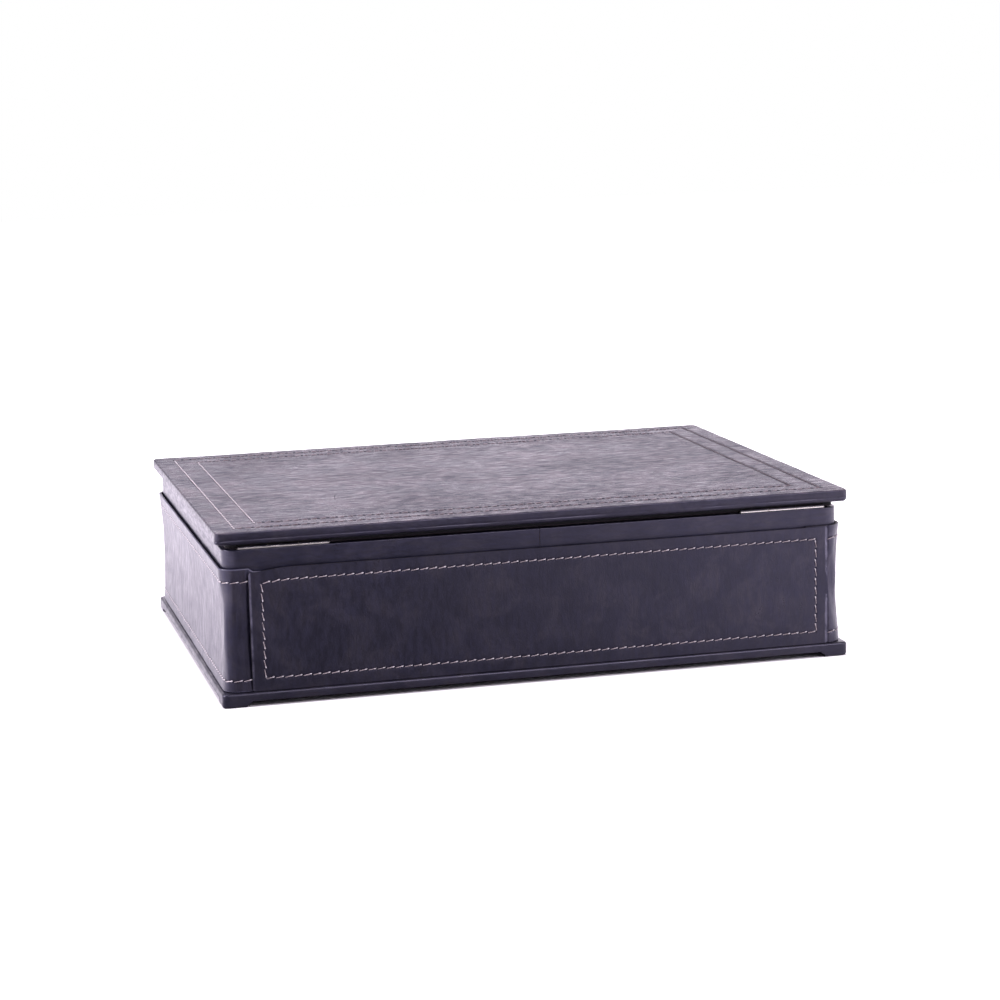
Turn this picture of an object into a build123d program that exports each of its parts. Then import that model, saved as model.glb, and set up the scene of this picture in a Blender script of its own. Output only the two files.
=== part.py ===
from build123d import *
import os

# A leather-covered box for papers: a walled tray on a base board with corner feet, and a
# hinged lid board that overhangs it. +Z is up, the front faces -Y and the hinges lie along
# the back, +Y. Left and right are as seen from the front. The origin is the centre of the
# outline, on the surface that the box stands on. All sizes are in millimetres.

os.makedirs("parts", exist_ok=True)

# Outline shared by the lid and the base
outline_length = 360.0
outline_depth = 270.0
outline_corner = 2.6

# Lid board and the leather turned round its edges
lid_board_thickness = 5.2
lid_leather_thickness = 0.8
lid_top_round = 1.2
lid_bottom_round = 2.4
lid_turn_in = 16.0

# Lined board under the lid, over the tops of the walls
lid_lining_board_thickness = 2.4
lid_lining_thickness = 0.6
lid_lining_inset = 2.2
lid_lining_back_inset = 3.0
lid_lining_corner = 4.0
closed_gap = 0.5

# Base board, the leather turned round its edges, and the feet
base_board_thickness = 3.0
base_leather_thickness = 0.8
base_top_round = 0.7
base_turn_in = 18.0
foot_height = 3.2
foot_length = 13.5
foot_cove = 2.4

# Walls and the leather that covers them
cover_overhang = 4.0
cover_leather_thickness = 1.0
cover_top_round = 0.6
cover_seam_gap = 0.25
wall_thickness = 10.0
wall_height = 77.2
wall_corner = 5.6

# Stitched leather bands round the ends of the box
band_thickness = 1.4
band_base_gap = 0.3
collar_height = 10.0
band_tuck = 10.0

# Stitched leather panels on the front and the back, bowed along the top
panel_thickness = 1.3
panel_end_inset = 11.9
panel_end_drop = 2.4
panel_bow = 2.0
panel_corner = 1.5
back_panel_shift = 2.5
filler_drop = 1.0
filler_joint_gap = 0.2

# Linings
floor_lining_thickness = 1.8
wall_lining_thickness = 1.5
lining_joint_gap = 0.1

# Thread
thread_width = 0.8
thread_height = 0.3
panel_thread_inset = 7.4
band_thread_top_inset = 7.4
band_thread_bottom_inset = 6.2
lid_thread_outer_inset = 12.4
lid_thread_inner_inset = 25.4

# Hinges
hinge_length = 50.0
hinge_end_inset = 12.4
knuckle_count = 3
knuckle_radius = 1.5
knuckle_end_gap = 0.3
knuckle_clearance = 0.25
pin_radius = 0.75
pin_clearance = 0.05
leaf_width = 7.0
leaf_thickness = 0.9
mortise_clearance = 0.15
screw_end_inset = 9.0
screw_length = 6.0
screw_head_radius = 1.6
screw_shank_radius = 0.9
screw_slot_width = 0.4
screw_slot_depth = 0.35
screw_clearance = 0.05

# Heights, from the surface up
base_board_bottom = foot_height + base_leather_thickness
base_board_top = base_board_bottom + base_board_thickness
base_top = base_board_top + base_leather_thickness
floor_top = base_top + floor_lining_thickness
wall_top = base_top + wall_height
collar_top = wall_top + cover_leather_thickness
band_bottom = base_top + band_base_gap
band_top = collar_top - collar_height
lining_bottom = collar_top + closed_gap
lining_board_bottom = lining_bottom + lid_lining_thickness
lid_bottom = lining_board_bottom + lid_lining_board_thickness
lid_board_bottom = lid_bottom + lid_leather_thickness
lid_top = lid_board_bottom + lid_board_thickness + lid_leather_thickness

# Plan sizes, from the outline inwards
cover_length = outline_length - 2 * cover_overhang
cover_depth = outline_depth - 2 * cover_overhang
cover_corner = wall_corner + cover_leather_thickness
wall_length = cover_length - 2 * cover_leather_thickness
wall_depth = cover_depth - 2 * cover_leather_thickness
inner_length = wall_length - 2 * wall_thickness
inner_depth = wall_depth - 2 * wall_thickness
band_length = cover_length + 2 * band_thickness
band_depth = cover_depth + 2 * band_thickness
band_corner = cover_corner + band_thickness
panel_length = band_length - 2 * panel_end_inset
band_end = panel_length / 2 - band_tuck
panel_face = band_depth / 2 + panel_thickness

# Hinge line and screws
hinge_x = outline_length / 2 - hinge_end_inset - hinge_length / 2
hinge_y = wall_depth / 2 - knuckle_clearance - knuckle_radius
hinge_z = collar_top + closed_gap / 2
knuckle_pitch = hinge_length / knuckle_count
screw_y = hinge_y - (knuckle_radius + leaf_width) / 2
screw_pitch = hinge_length - 2 * screw_end_inset
screw_places = [
    (side * hinge_x + end * screw_pitch / 2, screw_y) for side in (-1, 1) for end in (-1, 1)
]
pilot_radius = screw_shank_radius + screw_clearance
pilot_length = screw_length + screw_clearance


def rounded_slab(length, depth, corner, bottom, thickness, top_round, bottom_round):
    """A flat board with rounded corners and rounded long edges."""
    with BuildPart() as slab:
        with BuildSketch(Plane.XY.offset(bottom)):
            RectangleRounded(length, depth, corner)
        extrude(amount=thickness)
        fillet(slab.faces().sort_by(Axis.Z)[-1].edges(), top_round)
        fillet(slab.faces().sort_by(Axis.Z)[0].edges(), bottom_round)
    return slab.part


def ring(length, depth, corner, width):
    """A flat outline of the given width, measured inwards, with rounded corners."""
    with BuildSketch() as outline:
        RectangleRounded(length, depth, corner)
        RectangleRounded(length - 2 * width, depth - 2 * width, corner - width, mode=Mode.SUBTRACT)
    return outline.sketch


def panel_outline(inset):
    """The bowed outline of a panel, drawn this far inside its edges."""
    half = panel_length / 2 - inset
    low = band_bottom + inset
    high = band_top - panel_end_drop - inset
    with BuildSketch() as outline:
        with BuildLine():
            Polyline((-half, high), (-half, low), (half, low), (half, high))
            ThreePointArc((half, high), (0, high + panel_bow), (-half, high))
        make_face()
    return outline.sketch


def outward_plane(side, distance):
    """The plane of the front (-1) or back (1) face, seen square from outside the box."""
    return Plane(origin=(0, side * distance, 0), x_dir=(-side, 0, 0), z_dir=(0, side, 0))


def screw_location(place, facing):
    """Where a screw goes, with its face up (1) or down (-1)."""
    return Plane(origin=place, x_dir=(1, 0, 0), z_dir=(0, 0, facing)).location


def hinge_seats(recess_low, recess_high, screw_face, screw_align):
    """What both hinges take out of the pieces on one side of the joint.

    That is the groove that the knuckles turn in, the recess for the leaf and the pilot holes.
    """
    seat_length = hinge_length + 2 * mortise_clearance
    with BuildPart() as seats:
        for side in (-1, 1):
            with Locations(Location((side * hinge_x, hinge_y, hinge_z), (0, 90, 0))):
                Cylinder(knuckle_radius + knuckle_clearance, seat_length)
            with Locations((side * hinge_x, hinge_y, recess_low)):
                Box(
                    seat_length,
                    leaf_width + mortise_clearance,
                    recess_high - recess_low,
                    align=(Align.CENTER, Align.MAX, Align.MIN),
                )
        with Locations(*[(x, y, screw_face) for x, y in screw_places]):
            Cylinder(pilot_radius, pilot_length, align=(Align.CENTER, Align.CENTER, screw_align))
    return seats.part


wall_seats = hinge_seats(collar_top - leaf_thickness, hinge_z, collar_top, Align.MAX)
lid_seats = hinge_seats(hinge_z, lining_bottom + leaf_thickness, lining_bottom, Align.MIN)

# ---------------------------------------------------------------- base

with BuildPart() as base_board:
    with BuildSketch(Plane.XY.offset(base_board_bottom)):
        RectangleRounded(
            outline_length - 2 * base_leather_thickness,
            outline_depth - 2 * base_leather_thickness,
            outline_corner - base_leather_thickness,
        )
    extrude(amount=base_board_thickness)

base_board.part.label = "base_board"
export_step(base_board.part, "parts/base_board.step")

# One sheet over the board, turned round its edges and glued down under it
with BuildPart() as base_leather:
    with BuildSketch(Plane.XY.offset(foot_height)):
        RectangleRounded(outline_length, outline_depth, outline_corner)
    extrude(amount=base_top - foot_height)
    fillet(base_leather.faces().sort_by(Axis.Z)[-1].edges(), base_top_round)
    add(base_board.part, mode=Mode.SUBTRACT)
    with BuildSketch(Plane.XY.offset(foot_height)):
        Rectangle(outline_length - 2 * base_turn_in, outline_depth - 2 * base_turn_in)
    extrude(amount=base_leather_thickness, mode=Mode.SUBTRACT)

base_leather.part.label = "base_leather"
export_step(base_leather.part, "parts/base_leather.step")

# Felt that fills the space between the turned-in edges of the base leather
with BuildPart() as base_felt:
    with BuildSketch(Plane.XY.offset(foot_height)):
        Rectangle(
            outline_length - 2 * base_turn_in - 2 * lining_joint_gap,
            outline_depth - 2 * base_turn_in - 2 * lining_joint_gap,
        )
    extrude(amount=base_leather_thickness)

base_felt.part.label = "base_felt"
export_step(base_felt.part, "parts/base_felt.step")

# Feet: leather-covered corner blocks, coved where they meet the underside of the base
corners = {
    "foot_front_left": (-1, -1),
    "foot_front_right": (1, -1),
    "foot_back_left": (-1, 1),
    "foot_back_right": (1, 1),
}
for foot_name, (side_x, side_y) in corners.items():
    corner_x = side_x * outline_length / 2
    corner_y = side_y * outline_depth / 2
    foot_reach = foot_length + foot_cove
    with BuildPart() as foot:
        with BuildSketch():
            with Locations((corner_x - side_x * foot_reach / 2, corner_y - side_y * foot_reach / 2)):
                Rectangle(foot_reach, foot_reach)
        extrude(amount=foot_height)
        with Locations((corner_x - side_x * foot_reach, corner_y, 0)):
            Cylinder(foot_cove, 3 * foot_reach, rotation=(90, 0, 0), mode=Mode.SUBTRACT)
        with Locations((corner_x, corner_y - side_y * foot_reach, 0)):
            Cylinder(foot_cove, 3 * foot_reach, rotation=(0, 90, 0), mode=Mode.SUBTRACT)
        outer_edge = foot.edges().filter_by(Axis.Z).sort_by_distance((corner_x, corner_y, 0))[0]
        fillet(outer_edge, outline_corner)
    foot.part.label = foot_name
    export_step(foot.part, f"parts/{foot_name}.step")

# ---------------------------------------------------------------- walls

# Four boards mitred at the corners, with the outer corners rounded
mitre = (wall_length - wall_depth) / 2
reach = outline_length
wall_wedges = {
    "wall_front": [(-mitre, 0), (mitre, 0), (mitre + reach, -reach), (-mitre - reach, -reach)],
    "wall_back": [(-mitre, 0), (mitre, 0), (mitre + reach, reach), (-mitre - reach, reach)],
    "wall_left": [(-mitre, 0), (-mitre - reach, reach), (-mitre - reach, -reach)],
    "wall_right": [(mitre, 0), (mitre + reach, reach), (mitre + reach, -reach)],
}
for wall_name, wedge in wall_wedges.items():
    with BuildPart() as wall:
        with BuildSketch(Plane.XY.offset(base_top)):
            RectangleRounded(wall_length, wall_depth, wall_corner)
            Rectangle(inner_length, inner_depth, mode=Mode.SUBTRACT)
            with BuildLine():
                Polyline(*wedge, close=True)
            make_face(mode=Mode.INTERSECT)
        extrude(amount=wall_height)
        if wall_name == "wall_back":
            add(wall_seats, mode=Mode.SUBTRACT)
    wall.part.label = wall_name
    export_step(wall.part, f"parts/{wall_name}.step")

# Leather round the outside of the walls and over their tops, butted at the middle of the back
with BuildPart() as wall_leather:
    with BuildSketch(Plane.XY.offset(base_top)):
        add(ring(cover_length, cover_depth, cover_corner, cover_leather_thickness))
    extrude(amount=wall_height + cover_leather_thickness)
    with BuildSketch(Plane.XY.offset(wall_top)):
        RectangleRounded(wall_length, wall_depth, wall_corner)
        Rectangle(inner_length, inner_depth, mode=Mode.SUBTRACT)
    extrude(amount=cover_leather_thickness)
    fillet(
        wall_leather.faces().sort_by(Axis.Z)[-1].outer_wire().edges(),
        cover_top_round,
    )
    add(wall_seats, mode=Mode.SUBTRACT)
    with Locations((0, inner_depth / 2, base_top)):
        Box(
            cover_seam_gap,
            cover_depth,
            wall_height + cover_leather_thickness,
            align=(Align.CENTER, Align.MIN, Align.MIN),
            mode=Mode.SUBTRACT,
        )

wall_leather.part.label = "wall_leather"
export_step(wall_leather.part, "parts/wall_leather.step")

# ---------------------------------------------------------------- bands and panels

# A band goes round each end of the box and tucks under the front and back panels
for band_name, side in {"band_left": -1, "band_right": 1}.items():
    with BuildPart() as band:
        with BuildSketch(Plane.XY.offset(band_bottom)):
            add(ring(band_length, band_depth, band_corner, band_thickness))
            with Locations((side * (band_end + outline_length / 2), 0)):
                Rectangle(outline_length, outline_depth, mode=Mode.INTERSECT)
        extrude(amount=band_top - band_bottom)
    band.part.label = band_name
    export_step(band.part, f"parts/{band_name}.step")

# Two rows of stitching run along each band as far as the panels
panel_ends = {
    -1: (panel_length / 2, panel_length / 2 + back_panel_shift),
    1: (panel_length / 2, panel_length / 2 - back_panel_shift),
}
thread_rows = (band_bottom + band_thread_bottom_inset, band_top - band_thread_top_inset)
for band_name, side in {"band_stitching_left": -1, "band_stitching_right": 1}.items():
    front_end, back_end = panel_ends[side]
    with BuildPart() as band_stitching:
        for row_height in thread_rows:
            with BuildSketch(Plane.XY.offset(row_height - thread_width / 2)):
                add(
                    ring(
                        band_length + 2 * thread_height,
                        band_depth + 2 * thread_height,
                        band_corner + thread_height,
                        thread_height,
                    )
                )
                with BuildLine():
                    Polyline(
                        (side * front_end, -outline_depth),
                        (side * outline_length, -outline_depth),
                        (side * outline_length, outline_depth),
                        (side * back_end, outline_depth),
                        (side * back_end, 0),
                        (side * front_end, 0),
                        close=True,
                    )
                make_face(mode=Mode.INTERSECT)
            extrude(amount=thread_width)
    band_stitching.part.label = band_name
    export_step(band_stitching.part, f"parts/{band_name}.step")

# Front and back: a card between the ends of the bands, the panel over it, and its stitching
for face_name, side, shift in (("front", -1, 0), ("back", 1, back_panel_shift)):
    with BuildPart() as filler:
        with Locations((0, side * cover_depth / 2, band_bottom)):
            Box(
                2 * band_end - 2 * filler_joint_gap,
                band_thickness,
                band_top - panel_end_drop - filler_drop - band_bottom,
                align=(Align.CENTER, Align.MIN if side > 0 else Align.MAX, Align.MIN),
            )
    filler.part.label = f"{face_name}_panel_card"
    export_step(filler.part, f"parts/{face_name}_panel_card.step")

    with BuildPart() as panel:
        with BuildSketch(outward_plane(side, band_depth / 2)):
            with Locations((shift, 0)):
                add(panel_outline(0))
        extrude(amount=panel_thickness)
        fillet(panel.edges().filter_by(Axis.Y), panel_corner)
    panel.part.label = f"{face_name}_panel"
    export_step(panel.part, f"parts/{face_name}_panel.step")

    with BuildPart() as panel_stitching:
        with BuildSketch(outward_plane(side, panel_face)):
            with Locations((shift, 0)):
                add(panel_outline(panel_thread_inset - thread_width / 2))
                add(panel_outline(panel_thread_inset + thread_width / 2), mode=Mode.SUBTRACT)
        extrude(amount=thread_height)
    panel_stitching.part.label = f"{face_name}_panel_stitching"
    export_step(panel_stitching.part, f"parts/{face_name}_panel_stitching.step")

# ---------------------------------------------------------------- linings

with BuildPart() as floor_lining:
    with BuildSketch(Plane.XY.offset(base_top)):
        Rectangle(inner_length - 2 * lining_joint_gap, inner_depth - 2 * lining_joint_gap)
    extrude(amount=floor_lining_thickness)

floor_lining.part.label = "floor_lining"
export_step(floor_lining.part, "parts/floor_lining.step")

# The front and back linings run the full length, and the end linings stand between them
for lining_name, side in {"wall_lining_front": -1, "wall_lining_back": 1}.items():
    with BuildPart() as long_lining:
        with Locations((0, side * (inner_depth - wall_lining_thickness) / 2, floor_top)):
            Box(
                inner_length - 2 * lining_joint_gap,
                wall_lining_thickness,
                collar_top - floor_top,
                align=(Align.CENTER, Align.CENTER, Align.MIN),
            )
    long_lining.part.label = lining_name
    export_step(long_lining.part, f"parts/{lining_name}.step")

for lining_name, side in {"wall_lining_left": -1, "wall_lining_right": 1}.items():
    with BuildPart() as end_lining:
        with Locations((side * (inner_length - wall_lining_thickness) / 2, 0, floor_top)):
            Box(
                wall_lining_thickness,
                inner_depth - 2 * wall_lining_thickness - 2 * lining_joint_gap,
                collar_top - floor_top,
                align=(Align.CENTER, Align.CENTER, Align.MIN),
            )
    end_lining.part.label = lining_name
    export_step(end_lining.part, f"parts/{lining_name}.step")

# ---------------------------------------------------------------- lid

lid_blank = rounded_slab(
    outline_length - 2 * lid_leather_thickness,
    outline_depth - 2 * lid_leather_thickness,
    outline_corner - lid_leather_thickness,
    lid_board_bottom,
    lid_board_thickness,
    lid_top_round - lid_leather_thickness,
    lid_bottom_round - lid_leather_thickness,
)
lid_envelope = rounded_slab(
    outline_length,
    outline_depth,
    outline_corner,
    lid_bottom,
    lid_top - lid_bottom,
    lid_top_round,
    lid_bottom_round,
)

with BuildPart() as lid_board:
    add(lid_blank)
    add(lid_seats, mode=Mode.SUBTRACT)

lid_board.part.label = "lid_board"
export_step(lid_board.part, "parts/lid_board.step")

# One sheet over the board, turned round its edges and glued down under it
with BuildPart() as lid_leather:
    add(lid_envelope)
    add(lid_blank, mode=Mode.SUBTRACT)
    with BuildSketch(Plane.XY.offset(lid_bottom)):
        Rectangle(outline_length - 2 * lid_turn_in, outline_depth - 2 * lid_turn_in)
    extrude(amount=lid_leather_thickness, mode=Mode.SUBTRACT)
    add(lid_seats, mode=Mode.SUBTRACT)

lid_leather.part.label = "lid_leather"
export_step(lid_leather.part, "parts/lid_leather.step")

# Card that levels the underside between the turned-in edges of the leather
with BuildPart() as lid_card:
    with BuildSketch(Plane.XY.offset(lid_bottom)):
        Rectangle(
            outline_length - 2 * lid_turn_in - 2 * lining_joint_gap,
            outline_depth - 2 * lid_turn_in - 2 * lining_joint_gap,
        )
    extrude(amount=lid_leather_thickness)

lid_card.part.label = "lid_card"
export_step(lid_card.part, "parts/lid_card.step")

lining_length = cover_length - 2 * lid_lining_inset
lining_depth = cover_depth - lid_lining_inset - lid_lining_back_inset
lining_y = (lid_lining_inset - lid_lining_back_inset) / 2
lining_layers = {
    "lid_lining_board": (lining_board_bottom, lid_lining_board_thickness),
    "lid_lining": (lining_bottom, lid_lining_thickness),
}
for layer_name, (layer_bottom, layer_thickness) in lining_layers.items():
    with BuildPart() as layer:
        with BuildSketch(Plane.XY.offset(layer_bottom)):
            with Locations((0, lining_y)):
                RectangleRounded(lining_length, lining_depth, lid_lining_corner)
        extrude(amount=layer_thickness)
        add(lid_seats, mode=Mode.SUBTRACT)
    layer.part.label = layer_name
    export_step(layer.part, f"parts/{layer_name}.step")

lid_thread_insets = {
    "lid_stitching_outer": lid_thread_outer_inset,
    "lid_stitching_inner": lid_thread_inner_inset,
}
for stitching_name, inset in lid_thread_insets.items():
    with BuildPart() as lid_stitching:
        with BuildSketch(Plane.XY.offset(lid_top)):
            add(
                ring(
                    outline_length - 2 * inset + thread_width,
                    outline_depth - 2 * inset + thread_width,
                    2 * thread_width,
                    thread_width,
                )
            )
        extrude(amount=thread_height)
    lid_stitching.part.label = stitching_name
    export_step(lid_stitching.part, f"parts/{stitching_name}.step")

# ---------------------------------------------------------------- hinges

# The body leaf has the end knuckles and lies face up; the lid leaf fits between them, face down
leaves = {
    "body_leaf": (collar_top - leaf_thickness, collar_top, 1, range(0, knuckle_count, 2)),
    "lid_leaf": (lining_bottom, lining_bottom, -1, range(1, knuckle_count, 2)),
}
for hinge_name, side in {"hinge_left": -1, "hinge_right": 1}.items():
    for leaf_name, (plate_bottom, screw_face, facing, own_knuckles) in leaves.items():
        with BuildPart() as leaf:
            with Locations((side * hinge_x, hinge_y, plate_bottom)):
                Box(
                    hinge_length,
                    leaf_width,
                    leaf_thickness,
                    align=(Align.CENTER, Align.MAX, Align.MIN),
                )
            for index in range(knuckle_count):
                offset = (index - (knuckle_count - 1) / 2) * knuckle_pitch
                centre = Location((side * hinge_x + offset, hinge_y, hinge_z), (0, 90, 0))
                with Locations(centre):
                    if index in own_knuckles:
                        Cylinder(knuckle_radius, knuckle_pitch - knuckle_end_gap)
                    else:
                        Cylinder(
                            knuckle_radius + knuckle_clearance,
                            knuckle_pitch + knuckle_end_gap,
                            mode=Mode.SUBTRACT,
                        )
            with Locations(Location((side * hinge_x, hinge_y, hinge_z), (0, 90, 0))):
                Cylinder(pin_radius + pin_clearance, 2 * hinge_length, mode=Mode.SUBTRACT)
            for end in (-1, 1):
                place = (side * hinge_x + end * screw_pitch / 2, screw_y, screw_face)
                with Locations(screw_location(place, facing)):
                    CounterSinkHole(
                        pilot_radius,
                        screw_head_radius + screw_clearance,
                        depth=2 * leaf_thickness,
                        counter_sink_angle=90,
                    )
        leaf.part.label = f"{hinge_name}_{leaf_name}"
        export_step(leaf.part, f"parts/{hinge_name}_{leaf_name}.step")

    with BuildPart() as hinge_pin:
        with Locations(Location((side * hinge_x, hinge_y, hinge_z), (0, 90, 0))):
            Cylinder(pin_radius, hinge_length - knuckle_end_gap)
    hinge_pin.part.label = f"{hinge_name}_pin"
    export_step(hinge_pin.part, f"parts/{hinge_name}_pin.step")

# A countersunk screw with a cross slot, its face at the origin and its point down
head_height = screw_head_radius - screw_shank_radius
with BuildPart() as screw:
    with BuildSketch(Plane.XZ):
        with BuildLine():
            Polyline(
                (0, 0),
                (screw_head_radius, 0),
                (screw_shank_radius, -head_height),
                (screw_shank_radius, -screw_length + screw_shank_radius),
                (0, -screw_length),
                close=True,
            )
        make_face()
    revolve(axis=Axis.Z)
    with Locations((0, 0, -screw_slot_depth)):
        for slot_length, slot_width in (
            (screw_head_radius, screw_slot_width),
            (screw_slot_width, screw_head_radius),
        ):
            Box(
                slot_length,
                slot_width,
                screw_slot_depth,
                align=(Align.CENTER, Align.CENTER, Align.MIN),
                mode=Mode.SUBTRACT,
            )

screw_groups = {
    "hinge_screws_body": (collar_top, 1),
    "hinge_screws_lid": (lining_bottom, -1),
}
for group_name, (face_height, facing) in screw_groups.items():
    with BuildPart() as screw_group:
        for x, y in screw_places:
            with Locations(screw_location((x, y, face_height), facing)):
                add(screw.part)
    screw_group.part.label = group_name
    export_step(screw_group.part, f"parts/{group_name}.step")
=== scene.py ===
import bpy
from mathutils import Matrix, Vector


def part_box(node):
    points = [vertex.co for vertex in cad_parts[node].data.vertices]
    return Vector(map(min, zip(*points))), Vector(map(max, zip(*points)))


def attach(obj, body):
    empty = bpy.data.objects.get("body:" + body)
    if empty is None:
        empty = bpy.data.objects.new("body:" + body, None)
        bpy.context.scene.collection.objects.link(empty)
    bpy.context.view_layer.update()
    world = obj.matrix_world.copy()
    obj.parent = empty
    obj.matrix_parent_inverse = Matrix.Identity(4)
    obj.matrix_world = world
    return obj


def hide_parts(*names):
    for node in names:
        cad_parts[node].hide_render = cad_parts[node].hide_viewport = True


bl_info = {
    "name": "Stationery Box",
    "version": (1, 0, 0),
    "blender": (4, 5, 0),
    "location": "View3D > Sidebar > Stationery Box",
    "description": "Dresses a hinged box for papers in leather, thread, suede and nickel",
    "category": "Object",
}

import math
import random

import bmesh
import bpy
from bpy.props import FloatProperty, FloatVectorProperty, IntProperty, PointerProperty
from mathutils import Matrix, Vector, noise

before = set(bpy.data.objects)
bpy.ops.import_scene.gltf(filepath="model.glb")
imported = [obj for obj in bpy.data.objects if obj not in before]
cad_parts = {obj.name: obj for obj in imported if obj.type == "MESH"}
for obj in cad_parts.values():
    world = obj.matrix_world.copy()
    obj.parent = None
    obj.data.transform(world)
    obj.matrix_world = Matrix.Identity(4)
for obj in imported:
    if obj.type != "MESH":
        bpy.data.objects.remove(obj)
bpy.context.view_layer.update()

MM = 0.001
SAME = 1e-6  # Points this near to each other count as one
LEVEL = 0.9  # A surface whose normal has more than this of Z lies level
UPRIGHT = 0.999  # An edge with more than this share of its length in Z runs straight up
X, Y, Z = 0, 1, 2
UP = Vector((0, 0, 1))
SIDES = {"left": -1, "right": 1}
FACES = {"front": -1, "back": 1}


# ------------------------------------------------------------------ settings


def length(name, description, millimetres):
    """A size that a user may change, given in millimetres."""
    return FloatProperty(
        name=name, description=description, default=millimetres * MM, min=0.0, unit="LENGTH", precision=5
    )


def colour(name, description, red, green, blue):
    """A linear colour that a user may change."""
    return FloatVectorProperty(
        name=name, description=description, default=(red, green, blue), subtype="COLOR", min=0.0, max=1.0
    )


def number(name, description, default, unit="NONE"):
    """A plain number, or one with a unit, that a user may change."""
    return FloatProperty(name=name, description=description, default=default, unit=unit)


def angle(name, description, degrees):
    """An angle that a user may change, given in degrees."""
    return FloatProperty(name=name, description=description, default=math.radians(degrees), subtype="ANGLE")


class BoxShapes(bpy.types.PropertyGroup):
    """Roundings and small irregularities of the leather pieces."""

    lid_corner: length("Lid corner", "Radius of the lid's upright corners", 3.0)
    lid_top_round: length("Lid top round", "Rounding of the lid's top edge", 0.75)
    lid_bottom_round: length("Lid bottom round", "Rounding of the lid's bottom edge", 2.0)
    lid_edge_crease: length("Lid edge crease", "Depth of the crease along the lid's edge", 0.28)
    lid_crease_drop: length("Lid crease drop", "How far the crease lies under the middle of the edge", 0.8)
    lid_edge_bulge: length("Lid edge bulge", "How far the lid's edge stands out at mid height", 0.22)
    lid_corner_lump: length("Lid corner lump", "How far the leather stands out at one corner of the lid", 0.9)
    base_top_round: length("Base top round", "Rounding of the base's top edge", 1.4)
    foot_round: length("Foot round", "Rounding of the feet's bottom edges", 1.5)
    foot_reach: length("Foot reach", "Length of a foot where it meets the base", 15.9)
    foot_cove: length("Foot cove", "Radius of the hollow where a foot leaves the base", 2.4)
    base_turn_in: length("Base turn-in", "Width of leather turned in under the base", 18.0)
    collar_corner: length("Collar corner", "Outer radius of the wall leather's upright corners", 8.5)
    band_corner: length("Band corner", "Outer radius of the right band's upright corners", 7.5)
    left_band_corner: length("Left band corner", "Outer radius of the left band's upright corners", 10.0)
    band_thickness: length("Band thickness", "Thickness of the band leather", 1.4)
    panel_thickness: length("Panel thickness", "Thickness of the panel leather", 1.3)
    panel_bow: length("Panel bow", "How far the panels' top edge stands above its lowest corner", 2.0)
    panel_drop: length("Panel drop", "Length over which the top edge falls to that corner", 22.0)
    panel_corner: length("Panel corner", "Radius of the panels' corners", 1.5)
    band_flare: length("Band flare", "How far the bands' long edges stand out past their middle", 1.7)
    band_fold: length("Band fold", "Depth of the upright folds at the bands' corners", 0.9)
    band_bulge: length("Band bulge", "How far the right band's upright corners stand out at mid height", 1.2)
    band_dent: length("Band dent", "Depth of the dent in the bands beside the panels' edges", 0.6)
    band_tuck: length("Band tuck", "How far the right band's top dips where the panels cover it", 1.9)
    wave: length("Wave", "Depth of the soft unevenness of the leather", 0.18)
    cut_edge_round: length("Cut edge round", "Rounding of the cut edges of thick leather", 0.6)
    mesh_step: length("Mesh step", "Largest spacing of the cuts that let a flat face wave", 5.0)


class BoxStitching(bpy.types.PropertyGroup):
    """The sewing: thread, stitches and the furrows that they pull into the leather."""

    pitch: length("Pitch", "Distance from one needle hole to the next", 5.1)
    thread_width: length("Thread width", "Width of a stitch at its middle", 0.50)
    thread_height: length("Thread height", "Height of a stitch above its furrow", 0.5)
    gap: length("Gap", "Length left open at each needle hole", 0.1)
    lid_gap: length("Lid gap", "Length left open at each needle hole of the lid", 1.5)
    hole: length("Hole", "Radius of a needle hole", 0.6)
    lid_hole: length("Lid hole", "Radius of a needle hole in the lid's padded leather", 1.35)
    slant: angle("Slant", "Turn of each stitch out of its row", 10)
    furrow_depth: length("Furrow depth", "Depth of the furrow under a row of stitches", 0.12)
    furrow_width: length("Furrow width", "Half width of the furrow under a row of stitches", 0.9)
    lid_furrow_depth: length("Lid furrow depth", "Depth of the furrows in the lid's padded leather", 0.22)
    lid_outer_inset: length("Outer row inset", "Distance of the lid's outer row from its edge", 12.0)
    lid_inner_inset: length("Inner row inset", "Distance of the lid's inner row from its edge", 25.0)
    panel_inset: length("Panel row inset", "Distance of a panel's row from its edge", 7.0)
    panel_top_inset: length("Panel top row inset", "Distance of a panel's top row from its edge", 6.3)
    seed: IntProperty(name="Seed", description="Seed of the small differences between stitches", default=7)


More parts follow.
